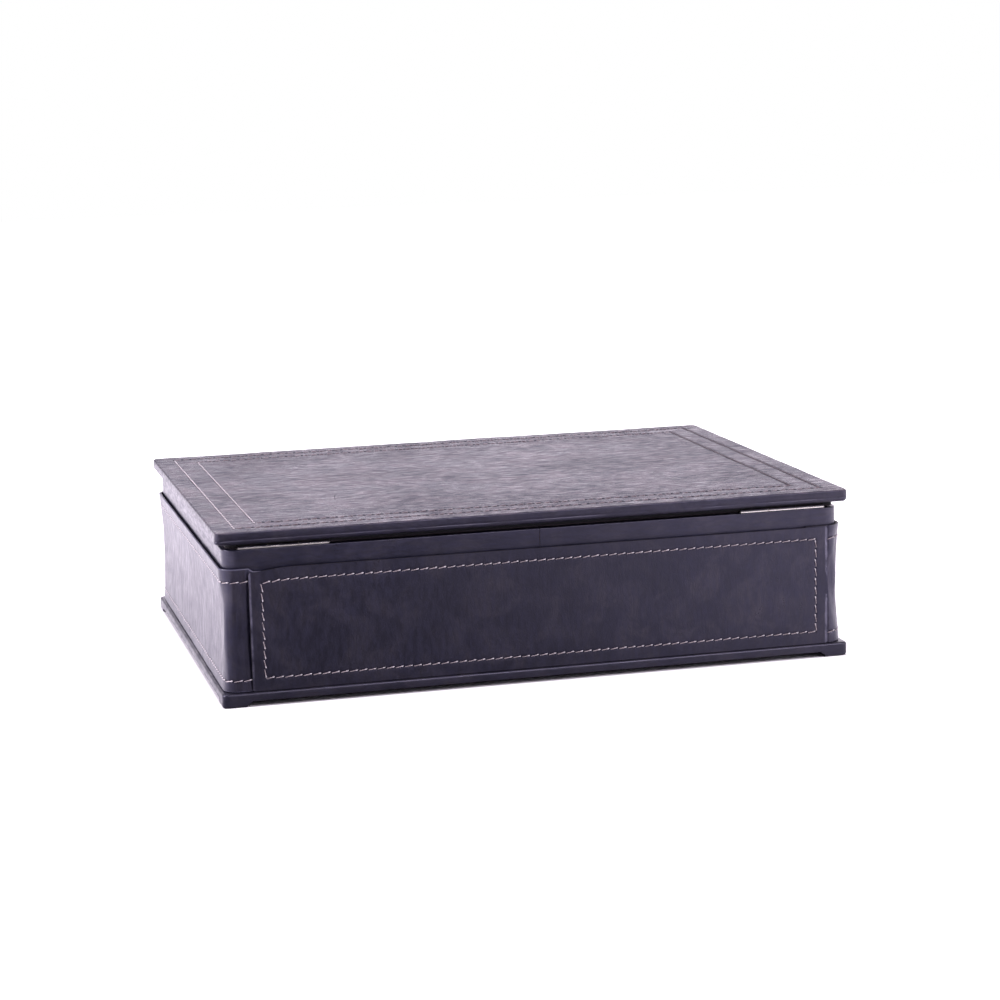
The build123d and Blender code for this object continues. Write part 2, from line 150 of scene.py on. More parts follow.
class BoxFinishes(bpy.types.PropertyGroup):
    """Colours of the materials."""

    lid_leather: colour("Lid leather", "Waxed leather of the lid", 0.0070, 0.0066, 0.0155)
    wall_leather: colour("Wall leather", "Smooth leather of the walls", 0.0065, 0.0068, 0.0175)
    band_leather: colour("Band leather", "Smooth leather of the bands", 0.0070, 0.0070, 0.0175)
    panel_leather: colour("Panel leather", "Smooth leather of the panels", 0.0052, 0.0054, 0.0135)
    base_leather: colour("Base leather", "Smooth leather of the base and feet", 0.0060, 0.0060, 0.0135)
    sheen: colour("Sheen", "Cast of the leather where it mirrors light head on", 0.80, 0.78, 1.0)
    lid_patches: colour("Lid patches", "Browner patches in the lid's leather", 0.070, 0.044, 0.052)
    side_patches: colour("Side patches", "Worn patches in all of the leather", 0.023, 0.0205, 0.027)
    band_patches: colour("Band patches", "Lighter patches in the left band", 0.060, 0.056, 0.075)
    # The rim colour is lighter than the cut edge: a painted highlight on the rounded rims.
    rim: colour("Rim", "Rubbed and waxed rims of the thick leather", 0.050, 0.049, 0.080)
    # The panels' pale end strips are a painted highlight along their upright edges.
    rubbed_edge: colour("Rubbed edge", "Strips rubbed pale along a panel's ends", 0.17, 0.165, 0.22)
    cut_edge: colour("Cut edge", "Dyed cut edges of the leather", 0.008, 0.007, 0.011)
    thread: colour("Thread", "Waxed sewing thread", 0.42, 0.36, 0.38)
    # The lit end thread is a lighter copy of the thread, a painted highlight on the stitches at the right
    # ends.
    pale_thread: colour("Pale thread", "Sewing thread bleached by handling", 0.82, 0.74, 0.75)
    # The shaded lid thread is a darker copy of the thread, painted shade on the faces of the lid's long rows.
    lid_thread: colour("Lid thread", "Worn sewing thread on the lid", 0.34, 0.27, 0.295)
    # The shaded end thread is a darker copy again, painted shade on the rows at the lid's left end.
    dark_thread: colour("Dark thread", "Waxed thread on the lid's left end", 0.20, 0.165, 0.18)
    suede: colour("Suede", "Suede linings", 0.032, 0.026, 0.031)
    felt: colour("Felt", "Felt under the base", 0.022, 0.021, 0.025)
    board: colour("Board", "Boards inside the leather", 0.36, 0.26, 0.16)
    card: colour("Card", "Card under the leather", 0.42, 0.38, 0.32)
    nickel: colour("Nickel", "Plated hinges and screws", 0.94, 0.91, 0.87)


class BoxStage(bpy.types.PropertyGroup):
    """The floor, the light and the camera."""

    floor: colour("Floor", "Pale studio floor", 0.80, 0.79, 0.81)
    floor_lift: number("Floor lift", "Glow that lifts the lit floor to white", 0.52)
    floor_shine: number("Floor shine", "Glow of the floor in reflections", 1.4)
    near_floor_shine: number("Near floor shine", "Share of that glow on the camera's side", 0.66)
    tint: colour("Tint", "Cast of the studio light", 0.97, 0.89, 1.0)
    world_light: number("World light", "Strength of the light from all round", 0.45)
    key_power: number("Key power", "Power of the overhead soft light", 11.0, "POWER")
    rear_power: number("Rear power", "Power of the soft light behind the box", 6.6, "POWER")
    fill_power: number("Fill power", "Power of the soft light at the left end", 7.0, "POWER")
    front_power: number("Front power", "Power of the soft light behind the camera", 14.0, "POWER")
    side_power: number("Side power", "Power of the soft light at the right end", 24.0, "POWER")
    camera_azimuth: angle("Camera azimuth", "Turn of the camera round the box", 165.80)
    camera_elevation: angle("Camera elevation", "Height angle of the camera", 11.578)
    camera_roll: angle("Camera roll", "Roll of the camera about its axis", -1.439)
    camera_distance: length("Camera distance", "Distance from the middle of the box", 1556.4)
    camera_pan: length("Camera pan", "Sideways step of the aim point", 9.98)
    camera_drop: length("Camera drop", "Downward step of the aim point", 8.88)
    camera_lens: number("Camera lens", "Focal length in millimetres", 93.085)
    camera_shift: number("Camera shift", "Upward shift of the picture", 0.067)


def box_settings(context):
    """The shapes, the stitching and the finishes that are set."""
    scene = context.scene
    return scene.box_shapes, scene.box_stitching, scene.box_finishes


# ------------------------------------------------------------------ mesh tools


def block(low, high):
    """A mesh holding one box between two corners."""
    bm = bmesh.new()
    bmesh.ops.create_cube(bm, size=1.0)
    bmesh.ops.scale(bm, vec=high - low, verts=bm.verts)
    bmesh.ops.translate(bm, vec=(low + high) / 2, verts=bm.verts)
    return bm


def round_edges(bm, edges, width, segments):
    """Rounds the given edges."""
    bmesh.ops.bevel(
        bm, geom=list(edges), offset=width, offset_type="OFFSET", segments=segments,
        profile=0.5, affect="EDGES", material=-1, clamp_overlap=True,
    )


def upright_edges(bm):
    """The edges that run straight up."""
    spans = ((edge, edge.verts[1].co - edge.verts[0].co) for edge in bm.edges)
    return [edge for edge, span in spans if abs(span.z) > UPRIGHT * span.length]


def rim_edges(bm, height):
    """The edges round the flat top or bottom face at this height."""
    level = (edge for edge in bm.edges if all(abs(vert.co.z - height) < SAME for vert in edge.verts))
    return [edge for edge in level if any(abs(face.normal.z) < 0.5 for face in edge.link_faces)]


def rounded_block(low, high, corner, top_round):
    """A box with rounded upright corners and a rounded top edge."""
    bm = block(low, high)
    round_edges(bm, upright_edges(bm), corner, 5)
    round_edges(bm, rim_edges(bm, high.z), top_round, 3)
    return bm


def whole(bm):
    """Every point, edge and face of a mesh."""
    return bm.verts[:] + bm.edges[:] + bm.faces[:]


def slice_mesh(bm, axis, places):
    """Cuts every face at planes square to an axis, so that the mesh can follow a gentle shape."""
    normal = Vector((0.0, 0.0, 0.0))
    normal[axis] = 1.0
    for place in places:
        bmesh.ops.bisect_plane(bm, geom=whole(bm), dist=SAME, plane_co=normal * place, plane_no=normal)


def spaced(low, high, step):
    """Evenly spaced places between two ends, no further apart than the step."""
    count = max(1, math.ceil((high - low) / step))
    return [low + (high - low) * index / count for index in range(1, count)]


def slice_evenly(bm, low, high, step, axes=(X, Y)):
    """Cuts a mesh into even strips along some axes."""
    for axis in axes:
        slice_mesh(bm, axis, spaced(low[axis], high[axis], step))


def map_mesh(bm, name, place):
    """Gives a mesh a UV map, in metres, from a function of each point."""
    uv = bm.loops.layers.uv.new(name)
    for face in bm.faces:
        for loop in face.loops:
            loop[uv].uv = place(loop.vert.co)


def ripple(point, size, depth, seed=0.0):
    """Soft random height at a point: how deep and how wide the unevenness is."""
    return depth * noise.fractal(point / size + Vector((seed, seed, seed)), 1.0, 2.0, 3)


def make_piece(bm, name, body, replaced, materials, sharp_angle=math.radians(40)):
    """Turns a finished mesh into a piece that rides on a body and stands for CAD nodes."""
    mesh = bpy.data.meshes.new(name)
    bm.to_mesh(mesh)
    bm.free()
    for material in materials:
        mesh.materials.append(material)
    mesh.shade_smooth()
    mesh.set_sharp_from_angle(angle=sharp_angle)
    piece = bpy.data.objects.new(name, mesh)
    bpy.context.scene.collection.objects.link(piece)
    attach(piece, body)
    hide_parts(*replaced)
    return piece


def thicken(piece, thickness, edge_round):
    """Gives a skin its thickness, inwards, and rounds its cut edges with a burnished rim that is painted
    lighter, a painted highlight.
    """
    solid = piece.modifiers.new("Thickness", "SOLIDIFY")
    solid.thickness = thickness
    solid.offset = -1.0
    solid.use_even_offset = True
    solid.material_offset_rim = 1
    soften(piece, edge_round, 3, 2)


def soften(piece, width, segments, material=-1):
    """Rounds a piece's sharp edges."""
    bevel = piece.modifiers.new("Soft edges", "BEVEL")
    bevel.width = width
    bevel.segments = segments
    bevel.limit_method = "ANGLE"
    bevel.angle_limit = math.radians(50)
    bevel.profile = 0.4
    bevel.material = material
    bevel.harden_normals = True


# ------------------------------------------------------------------ shader tools


MIX_SHARE, MIX_FIRST, MIX_SECOND, MIX_RESULT = 0, 6, 7, 2  # The Mix node's sockets for colours


def node(tree, kind, inputs=None, **settings):
    """Adds a node, sets its settings, and sets or links its inputs."""
    made = tree.nodes.new(kind)
    for name, value in settings.items():
        setattr(made, name, value)
    for name, value in (inputs or {}).items():
        if isinstance(value, bpy.types.NodeSocket):
            tree.links.new(value, made.inputs[name])
        else:
            made.inputs[name].default_value = value
    return made


def maths(tree, operation, *values):
    """The result of a maths node."""
    return node(tree, "ShaderNodeMath", dict(enumerate(values)), operation=operation).outputs[0]


def times(tree, first, second):
    """The product of two values."""
    return maths(tree, "MULTIPLY", first, second)


def times_plus(tree, first, second, added):
    """The product of two values, with a third added."""
    return maths(tree, "MULTIPLY_ADD", first, second, added)


def plus(tree, first, second):
    """The sum of two values."""
    return maths(tree, "ADD", first, second)


def minus(tree, first, second):
    """The first value less the second."""
    return maths(tree, "SUBTRACT", first, second)


def larger(tree, first, second):
    """The larger of two values."""
    return maths(tree, "MAXIMUM", first, second)


def size_of(tree, value):
    """The value without its sign."""
    return maths(tree, "ABSOLUTE", value)


def squared(tree, value):
    """The value times itself."""
    return maths(tree, "POWER", value, 2.0)


def hill(tree, square, width):
    """One at a distance of nothing, falling off over a width, from the distance's square."""
    return maths(tree, "EXPONENT", times(tree, square, -1.0 / width**2))


def axes(tree, vector):
    """The parts of a vector by the name of their axis."""
    return node(tree, "ShaderNodeSeparateXYZ", {0: vector}).outputs


def mapped(tree, name):
    """The parts of a place on a piece's own UV map."""
    return axes(tree, node(tree, "ShaderNodeUVMap", uv_map=name).outputs[0])


def blend_colours(tree, share, first, second):
    """The result of mixing two colours."""
    inputs = {MIX_SHARE: share, MIX_FIRST: first, MIX_SECOND: second}
    return node(tree, "ShaderNodeMix", inputs, data_type="RGBA").outputs[MIX_RESULT]


def remap(tree, value, low, high, new_low, new_high, smooth=False):
    """The value carried from one range to another and held there."""
    settings = {"interpolation_type": "SMOOTHSTEP"} if smooth else {}
    inputs = {"Value": value, "From Min": low, "From Max": high, "To Min": new_low, "To Max": new_high}
    return node(tree, "ShaderNodeMapRange", inputs, **settings).outputs[0]


def cell_field(tree, vector, size):
    """Distance from the middle of the nearest of many cells of this size in metres."""
    cells = node(tree, "ShaderNodeTexVoronoi", {"Vector": vector, "Scale": 1.0 / size}, feature="F1")
    return cells.outputs["Distance"]


def noise_field(tree, vector, size, detail, roughness=0.5, distortion=0.0):
    """Soft noise whose features have this size in metres."""
    grain = {"Scale": 1.0 / size, "Detail": detail, "Roughness": roughness, "Distortion": distortion}
    return node(tree, "ShaderNodeTexNoise", {"Vector": vector, **grain}).outputs["Fac"]


def stretched(tree, vector, stretch):
    """The coordinates pulled out along some axes."""
    return node(tree, "ShaderNodeMapping", {"Vector": vector, "Scale": [1.0 / s for s in stretch]}).outputs[0]


def new_group(name, vectors, values, outputs):
    """An empty shader group with named inputs and outputs, and its two end nodes."""
    group = bpy.data.node_groups.new(name, "ShaderNodeTree")
    add_socket = group.interface.new_socket
    for vector in vectors:
        add_socket(vector, in_out="INPUT", socket_type="NodeSocketVector")
    for value, default in values.items():
        add_socket(value, in_out="INPUT", socket_type="NodeSocketFloat").default_value = default
    for output in outputs:
        add_socket(output, in_out="OUTPUT", socket_type="NodeSocketFloat")
    return group, group.nodes.new("NodeGroupInput").outputs, group.nodes.new("NodeGroupOutput").inputs


def placed_group(tree, maker, inputs):
    """The outputs of a group placed in a material; its maker builds it the first time."""
    group = bpy.data.node_groups.get(maker.__name__) or maker()
    return node(tree, "ShaderNodeGroup", inputs, node_tree=group).outputs


def hide_grain():
    """Shader group: the pores, creases, drawn streaks and mottling of waxed hide."""
    group, given, result = new_group(
        "hide_grain", ["Vector", "Streak Vector"],
        {"Pore Depth": 0.02 * MM, "Crease Depth": 0.03 * MM, "Wave Depth": 0.08 * MM},
        ["Height", "Mottle", "Streaks", "Bloom", "Creases"],
    )
    pores = cell_field(group, given["Vector"], 0.9 * MM)
    folds = noise_field(group, given["Streak Vector"], 4.0 * MM, 6.0, 0.62, 0.8)
    fold_line = size_of(group, minus(group, folds, 0.5))
    creases = remap(group, fold_line, 0.0, 0.07, 1.0, 0.0, True)
    waves = noise_field(group, given["Streak Vector"], 5.2 * MM, 5.0, 0.62, 0.4)
    mottle = noise_field(group, given["Vector"], 18 * MM, 6.0, 0.62, 0.7)
    streaks = noise_field(group, given["Streak Vector"], 2.2 * MM, 4.0, 0.6, 0.3)
    bloom = noise_field(group, given["Vector"], 75 * MM, 3.0, 0.5, 0.5)
    height = times(group, pores, times(group, given["Pore Depth"], -1.0))
    height = times_plus(group, creases, times(group, given["Crease Depth"], -1.0), height)
    height = times_plus(group, waves, given["Wave Depth"], height)
    height = times_plus(group, streaks, times(group, given["Crease Depth"], 1.5), height)
    group.links.new(height, result["Height"])
    group.links.new(creases, result["Creases"])
    for name, field, low, high in (
        ("Mottle", mottle, 0.40, 0.66), ("Streaks", streaks, 0.32, 0.68), ("Bloom", bloom, 0.35, 0.65)
    ):
        group.links.new(remap(group, field, low, high, 0.0, 1.0, True), result[name])
    return group


def needle_row():
    """Shader group: the beds that stitches press into leather, and the needle holes between them."""
    group, given, result = new_group(
        "needle_row", [],
        {
            "Across": 0.0, "Along": 0.0, "Start": 0.0, "End": 1.0, "Pitch": 5.1 * MM, "Bed Depth": 0.15 * MM,
            "Hole Radius": 0.6 * MM,
        },
        ["Height", "Hole", "Bed"],
    )
    overrun = 0.6 * MM  # How far the marks may reach past the ends of the row
    travel = minus(group, given["Along"], given["Start"])
    phase = maths(group, "FRACT", maths(group, "DIVIDE", travel, given["Pitch"]))
    from_hole = times(group, maths(group, "MINIMUM", phase, minus(group, 1.0, phase)), given["Pitch"])
    inside = times(
        group,
        maths(group, "GREATER_THAN", given["Along"], minus(group, given["Start"], overrun)),
        maths(group, "LESS_THAN", given["Along"], plus(group, given["End"], overrun)),
    )
    across_squared = squared(group, size_of(group, given["Across"]))
    reach_squared = times_plus(group, across_squared, 1.6, squared(group, from_hole))
    reach = maths(group, "DIVIDE", maths(group, "SQRT", reach_squared), given["Hole Radius"])
    hole = remap(group, reach, 0.4, 1.0, 1.0, 0.0, True)
    past_hole = minus(group, from_hole, given["Hole Radius"])
    along_bed = remap(group, past_hole, -0.1 * MM, 0.5 * MM, 0.0, 1.0, True)
    bed = times(group, times(group, along_bed, hill(group, across_squared, 0.62 * MM)), inside)
    hole = times(group, hole, inside)
    pull = times(
        group, hill(group, squared(group, from_hole), 0.3 * MM), hill(group, across_squared, 1.3 * MM)
    )
    depth = times(group, bed, given["Bed Depth"])
    depth = times_plus(group, hole, 0.25 * MM, depth)
    depth = times_plus(group, times(group, pull, inside), 0.12 * MM, depth)
    group.links.new(times(group, depth, -1.0), result["Height"])
    group.links.new(hole, result["Hole"])
    group.links.new(bed, result["Bed"])
    return group


def row_marks(tree, across, along, start, end, pitch, bed_depth, hole):
    """The height, needle holes and beds of one row of sewing."""
    row = {"Across": across, "Along": along, "Start": start, "End": end, "Pitch": pitch}
    marks = placed_group(tree, needle_row, {**row, "Bed Depth": bed_depth, "Hole Radius": hole})
    return marks["Height"], marks["Hole"], marks["Bed"]


def fitted_pitch(start, end, pitch):
    """The pitch nearest to the wanted one that fills a row with whole stitches."""
    return (end - start) / max(1, round((end - start) / pitch))


def frame_marks(tree, u, v, rectangle, pitch, bed_depth, hole, long_rows=1.0, low_row=1.0):
    """The marks of a rectangle of sewing in the plane of u and v, with some rows wider where asked."""
    low_u, high_u, low_v, high_v = rectangle

    def row(across, place, width, along, start, end):
        away = maths(tree, "DIVIDE", minus(tree, across, place), width)
        return row_marks(tree, away, along, start, end, fitted_pitch(start, end, pitch), bed_depth, hole)

    return join_marks(tree, [
        row(v, low_v, long_rows, u, low_u, high_u), row(v, high_v, long_rows, u, low_u, high_u),
        row(u, low_u, low_row, v, low_v, high_v), row(u, high_u, 1.0, v, low_v, high_v),
    ])


def join_marks(tree, marks):
    """The marks of several rows together."""
    height, hole, bed = marks[0]
    for next_height, next_hole, next_bed in marks[1:]:
        height = maths(tree, "MINIMUM", height, next_height)
        hole = larger(tree, hole, next_hole)
        bed = larger(tree, bed, next_bed)
    return height, hole, bed


def new_material(name):
    """A material with an empty tree, its object coordinates and its output."""
    material = bpy.data.materials.new(name)
    material.use_nodes = True
    tree = material.node_tree
    tree.nodes.clear()
    place = node(tree, "ShaderNodeTexCoord").outputs["Object"]
    return material, tree, place


def close_material(tree, shader):
    """Joins a shader to the material's output."""
    node(tree, "ShaderNodeOutputMaterial", {"Surface": shader.outputs[0]})


def coat(tree, body, rough, height, others):
    """Closes a material with its colour, its roughness, the height of its surface and other inputs."""
    bump = node(tree, "ShaderNodeBump", {"Height": height, "Distance": 1.0})
    finish = {"Base Color": body, "Roughness": rough, "Normal": bump.outputs[0], **others}
    close_material(tree, node(tree, "ShaderNodeBsdfPrincipled", finish))


def scratch(tree, place, middle, turn, size, curve):
    """Mask of one thin curved scratch in the plane of X and Y."""
    long, wide = size
    moved = {"Vector": place, "Location": (*middle, 0.0), "Rotation": (0.0, 0.0, turn)}
    parts = axes(tree, node(tree, "ShaderNodeMapping", moved, vector_type="TEXTURE").outputs[0])
    along = size_of(tree, parts["X"])
    across = size_of(tree, minus(tree, parts["Y"], times(tree, squared(tree, along), curve)))
    thin = remap(tree, across, 0.3 * wide, wide, 1.0, 0.0, True)
    return times(tree, thin, remap(tree, along, 0.35 * long, 0.5 * long, 1.0, 0.0, True))


def rgba(value, factor=1.0):
    """A colour with full alpha, made lighter or darker."""
    return (value[0] * factor, value[1] * factor, value[2] * factor, 1.0)


def leather(name, base, streak, marks, depths, gloss, patches=None, patched=None):
    """Waxed leather: mottled colour, pores, creases, streaks and the marks of sewing.

    The streak stretches the grain along each axis. The depths are those of pores, creases and waves
    in millimetres, and the gloss is the lowest and the highest roughness.
    """
    material, tree, place = new_material(name)
    finishes = bpy.context.scene.box_finishes
    pore, crease, wave = (depth * MM for depth in depths)
    grain = placed_group(tree, hide_grain, {
        "Vector": place, "Streak Vector": stretched(tree, place, streak),
        "Pore Depth": pore, "Crease Depth": crease, "Wave Depth": wave,
    })
    body = blend_colours(tree, grain["Mottle"], rgba(base, 0.8), rgba(finishes.side_patches))
    if patches:
        share = times(tree, patched(tree) if patched else 1.0, grain["Mottle"])
        body = blend_colours(tree, share, body, rgba(patches))
    # Streaks are paler and bloom darker, tone that differs at random; creases are painted darker, a painted
    # shade in them.
    for mask, most, shade in (("Streaks", 0.6, 2.2), ("Bloom", 0.4, 0.6), ("Creases", 0.35, 0.4)):
        body = blend_colours(tree, times(tree, grain[mask], most), body, rgba(base, shade))
    height = grain["Height"]
    dull = times_plus(tree, grain["Bloom"], 0.2, times(tree, grain["Streaks"], 0.8))
    rough = remap(tree, dull, 0.0, 1.0, *gloss)
    if marks:
        mark_height, hole, bed = marks(tree, place)
        height = plus(tree, height, mark_height)
        # Needle holes and stitch beds are painted darker: painted shade in these hollows.
        hole_and_bed_shade = larger(tree, hole, times(tree, bed, 0.5))
        body = blend_colours(tree, hole_and_bed_shade, body, rgba(base, 0.1))
        rough = larger(tree, rough, times(tree, larger(tree, hole, bed), 0.9))
    coat(tree, body, rough, height, {"IOR": 1.6, "Specular Tint": rgba(finishes.sheen)})
    return material


def cut_edge(name, base, gloss):
    """The dyed and burnished cut edge of thick leather."""
    material, tree, place = new_material(name)
    fibres = noise_field(tree, stretched(tree, place, (4, 4, 0.6)), 0.5 * MM, 4.0, 0.7)
    body = blend_colours(tree, fibres, rgba(base, 0.7), rgba(base, 1.8))
    rough = remap(tree, fibres, 0.3, 0.7, gloss, gloss + 0.2)
    coat(tree, body, rough, times(tree, fibres, 0.05 * MM), {"IOR": 1.5})
    return material


# Near-white colour of the painted glint near each stitch's end.
STITCH_END_GLINT = (0.88, 0.86, 0.90, 1.0)


def twisted_thread(name, base, gloss, rub):
    """Waxed thread of twisted plies; its UV map runs along and round each stitch."""
    material, tree, place = new_material(name)
    parts = mapped(tree, "stitch")
    turn = times_plus(tree, parts["X"], 3.5, parts["Y"])
    ply_with_shade = maths(tree, "SINE", times(tree, turn, 2 * math.pi * 2))
    ply_with_shade = remap(tree, ply_with_shade, -1.0, 1.0, 0.0, 1.0)
    fuzz = noise_field(tree, place, 0.25 * MM, 3.0, 0.7)
    soil = noise_field(tree, place, 9 * MM, 3.0, 0.6)
    # The grooves between the plies are painted darker than their ridges: painted shade on the twist.
    body = blend_colours(tree, ply_with_shade, rgba(base, 0.6), rgba(base, 1.05))
    body = blend_colours(tree, remap(tree, soil, 0.4, 0.7, 0.0, 0.5), body, rgba(base, 0.5))
    # Each stitch is painted near-white towards its end by the needle hole, a painted glint, broken up by the
    # soil.
    painted_glint = remap(tree, parts["X"], 0.62, 0.84, 0.0, rub, True)
    painted_glint = times(tree, painted_glint, remap(tree, soil, 0.3, 0.6, 0.6, 1.0))
    body = blend_colours(tree, painted_glint, body, STITCH_END_GLINT)
    height = times_plus(tree, fuzz, 0.04 * MM, times(tree, ply_with_shade, 0.09 * MM))
    coat(tree, body, remap(tree, fuzz, 0.3, 0.7, gloss, gloss + 0.25), height, {"IOR": 1.5})
    return material


def napped(name, base, nap_size, sheen):
    """Suede or felt: short brushed nap with patches that lie different ways."""
    material, tree, place = new_material(name)
    nap = noise_field(tree, place, nap_size, 4.0, 0.75)
    brushed = noise_field(tree, stretched(tree, place, (3, 1, 1)), 22 * MM, 4.0, 0.6, 1.2)
    lie = remap(tree, brushed, 0.38, 0.62, 0.0, 1.0, True)
    body = blend_colours(tree, lie, rgba(base, 0.72), rgba(base, 1.25))
    body = blend_colours(tree, remap(tree, nap, 0.35, 0.7, 0.0, 0.5), body, rgba(base, 1.7))
    height = times_plus(tree, nap, 0.10 * MM, times(tree, brushed, 0.15 * MM))
    soft = {"Sheen Weight": sheen, "Sheen Roughness": 0.4, "Specular IOR Level": 0.15}
    coat(tree, body, remap(tree, nap, 0.3, 0.7, 0.85, 1.0), height, soft)
    return material


def fibreboard(name, base):
    """Sanded fibreboard or grey card: packed fibres and faint specks."""
    material, tree, place = new_material(name)
    fibres = noise_field(tree, stretched(tree, place, (2.5, 2.5, 0.8)), 0.8 * MM, 5.0, 0.7)
    cells = cell_field(tree, place, 1.6 * MM)
    packed = remap(tree, fibres, 0.3, 0.7, 0.0, 1.0)
    body = blend_colours(tree, packed, rgba(base, 0.75), rgba(base, 1.15))
    specks = remap(tree, cells, 0.0, 0.16, 0.5, 0.0)
    body = blend_colours(tree, specks, body, rgba(base, 0.45))
    coat(tree, body, remap(tree, fibres, 0.3, 0.7, 0.75, 0.92), times(tree, fibres, 0.06 * MM), {})
    return material


def nickel_plate(name, base):
    """Bright nickel plate with fine drawn lines, pits and a little tarnish."""
    material, tree, place = new_material(name)
    drawn = noise_field(tree, stretched(tree, place, (30, 1, 1)), 0.35 * MM, 3.0, 0.6)
    tarnish = noise_field(tree, place, 5 * MM, 5.0, 0.65, 0.8)
    stained = (base[0] * 0.62, base[1] * 0.5, base[2] * 0.4, 1.0)
    body = blend_colours(tree, remap(tree, tarnish, 0.55, 0.8, 0.0, 0.5, True), rgba(base), stained)
    rough = times_plus(tree, drawn, 0.1, remap(tree, tarnish, 0.4, 0.75, 0.08, 0.22))
    coat(tree, body, rough, times(tree, drawn, 0.004 * MM), {"Metallic": 1.0})
    return material


def paint_node(name, material):
    """Gives a CAD node its finish."""
    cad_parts[name].material_slots[0].material = material


# ------------------------------------------------------------------ stitches


FURROW_STEPS = (-1.8, -1.0, -0.5, 0.0, 0.5, 1.0, 1.8)  # Cuts beside a row, in furrow widths
SLANT_SPREAD, NUDGE = 0.035, 0.06  # Most that a stitch turns, in radians, and moves, in millimetres
LENGTHS, WIDTHS, HEIGHTS = (0.95, 1.03), (0.88, 1.1), (0.85, 1.1)  # Shares of a stitch's usual size


def stitch_mesh(sewing, span):
    """One stitch along X on the XY plane: a drawn-out grain of thread that dives into its needle holes."""
    bm = bmesh.new()
    bmesh.ops.create_uvsphere(bm, u_segments=8, v_segments=10, radius=0.5)
    bmesh.ops.rotate(bm, matrix=Matrix.Rotation(math.radians(90), 3, "Y"), verts=bm.verts)
    uv = bm.loops.layers.uv.new("stitch")
    for face in bm.faces:
        turns = [math.atan2(loop.vert.co.z, loop.vert.co.y) / (2 * math.pi) for loop in face.loops]
        for loop, turn in zip(face.loops, turns):
            loop[uv].uv = (loop.vert.co.x + 0.5, turn + 1.0 if max(turns) - turn > 0.5 else turn)
    width, height = sewing.thread_width, sewing.thread_height
    for vert in bm.verts:
        along = 2 * vert.co.x
        # A blunter form than the sphere's, fullest just before the end where the thread comes up
        round_end = math.sqrt(max(1e-6, 1 - along**2))
        fullness = min(1.7, math.sqrt(max(0.0, 1 - along**6)) / round_end)
        fullness *= 1 + 0.12 * along + 0.45 * math.exp(-(((along - 0.72) / 0.2) ** 2))
        sink = 0.9 * height * abs(along) ** (7 if along > 0 else 3)
        vert.co = (
            vert.co.x * span, vert.co.y * width * fullness,
            vert.co.z * width * fullness + height - width / 2 + 0.15 * height * along - sink,
        )
    mesh = bpy.data.meshes.new("one_stitch")
    bm.to_mesh(mesh)
    bm.free()
    return mesh


def sew(bm, sewing, template, draw, centre, along, outward):
    """Adds one stitch to a mesh at a place, lying along one direction and facing another."""
    across = outward.cross(along)
    tilt = Matrix.Rotation(sewing.slant + draw.uniform(-SLANT_SPREAD, SLANT_SPREAD), 4, "Z")
    turn = Matrix((along, across, outward)).transposed().to_4x4()
    size = Matrix.Diagonal((draw.uniform(*LENGTHS), draw.uniform(*WIDTHS), draw.uniform(*HEIGHTS), 1.0))
    nudge = across * draw.uniform(-NUDGE, NUDGE) * MM
    stitch = template.copy()
    stitch.transform(Matrix.Translation(centre + nudge) @ turn @ tilt @ size)
    bm.from_mesh(stitch)
    bpy.data.meshes.remove(stitch)


def sew_line(bm, sewing, draw, start, end, outward):
    """Sews a straight row of the lid between two points."""
    span = end - start
    pitch = fitted_pitch(0.0, span.length, sewing.pitch)
    template = stitch_mesh(sewing, pitch - sewing.lid_gap)
    along = span.normalized()
    for index in range(round(span.length / pitch)):
        centre = start + along * pitch * (index + 0.5)
        sew(bm, sewing, template, draw, centre, along, outward)
    bpy.data.meshes.remove(template)


def sewn_mesh():
    """An empty mesh that holds stitches."""
    bm = bmesh.new()
    bm.loops.layers.uv.new("stitch")
    return bm


def sides(corners):
    """The start and the end of each side of a closed outline."""
    return zip(corners, corners[1:] + corners[:1])


def furrow(sewing, depth, distance):
    """Depth of the leather below its level at a distance from a row of stitches."""
    return depth * math.exp(-((distance / sewing.furrow_width) ** 2))


def furrow_cuts(sewing, rows):
    """Places beside some rows where the mesh is cut so that it can hold their furrows."""
    return [row + step * sewing.furrow_width for row in rows for step in FURROW_STEPS]


def rectangle_distance(x, y, half_length, half_depth):
    """Distance from a point to a rectangle's outline about the middle, measured square to its sides."""
    return abs(max(abs(x) - half_length, abs(y) - half_depth))


# ------------------------------------------------------------------ lid


CREASE_STEPS = (-0.5, -0.2, 0.0, 0.2, 0.5, 1.0, 1.8)  # Cuts beside the crease, in millimetres
CREASE_WIDTH, CREASE_LIMIT = 0.6 * MM, 0.45 * MM
CORNER_CREASE = 1.8  # How much deeper the crease is beside a corner
END_CREASE, END_SWELL = 0.2, 0.25  # What is left of the crease and the swell at the lid's ends
LUMP_REACH, LUMP_WAY = 5 * MM, Vector((0.8, 0.3, -0.35))
LID_SCARS = (  # Middle, turn, length and width, and curve of each
    ((98 * MM, 45 * MM), math.radians(78), (19 * MM, 0.6 * MM), 12.0),
    ((-61 * MM, 63 * MM), math.radians(12), (6 * MM, 1.0 * MM), -30.0),
    ((-61 * MM, 66 * MM), math.radians(70), (4 * MM, 0.7 * MM), 0.0),
    ((-64 * MM, 66 * MM), math.radians(100), (4 * MM, 0.7 * MM), 0.0),
)


def lid_rows(sewing):
    """Half length and half depth of the lid's two rectangles of stitches."""
    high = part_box("lid_leather")[1]
    return [(high.x - inset, high.y - inset) for inset in (sewing.lid_outer_inset, sewing.lid_inner_inset)]


def shape_lid_top(vert, shapes, sewing, rows):
    """Presses the sewn furrows into the lid's top and gives it a soft wave."""
    spot = vert.co.copy()
    for half_length, half_depth in rows:
        away = rectangle_distance(spot.x, spot.y, half_length, half_depth)
        vert.co.z -= furrow(sewing, sewing.lid_furrow_depth, away)
    vert.co.z += ripple(spot, 30 * MM, shapes.wave)


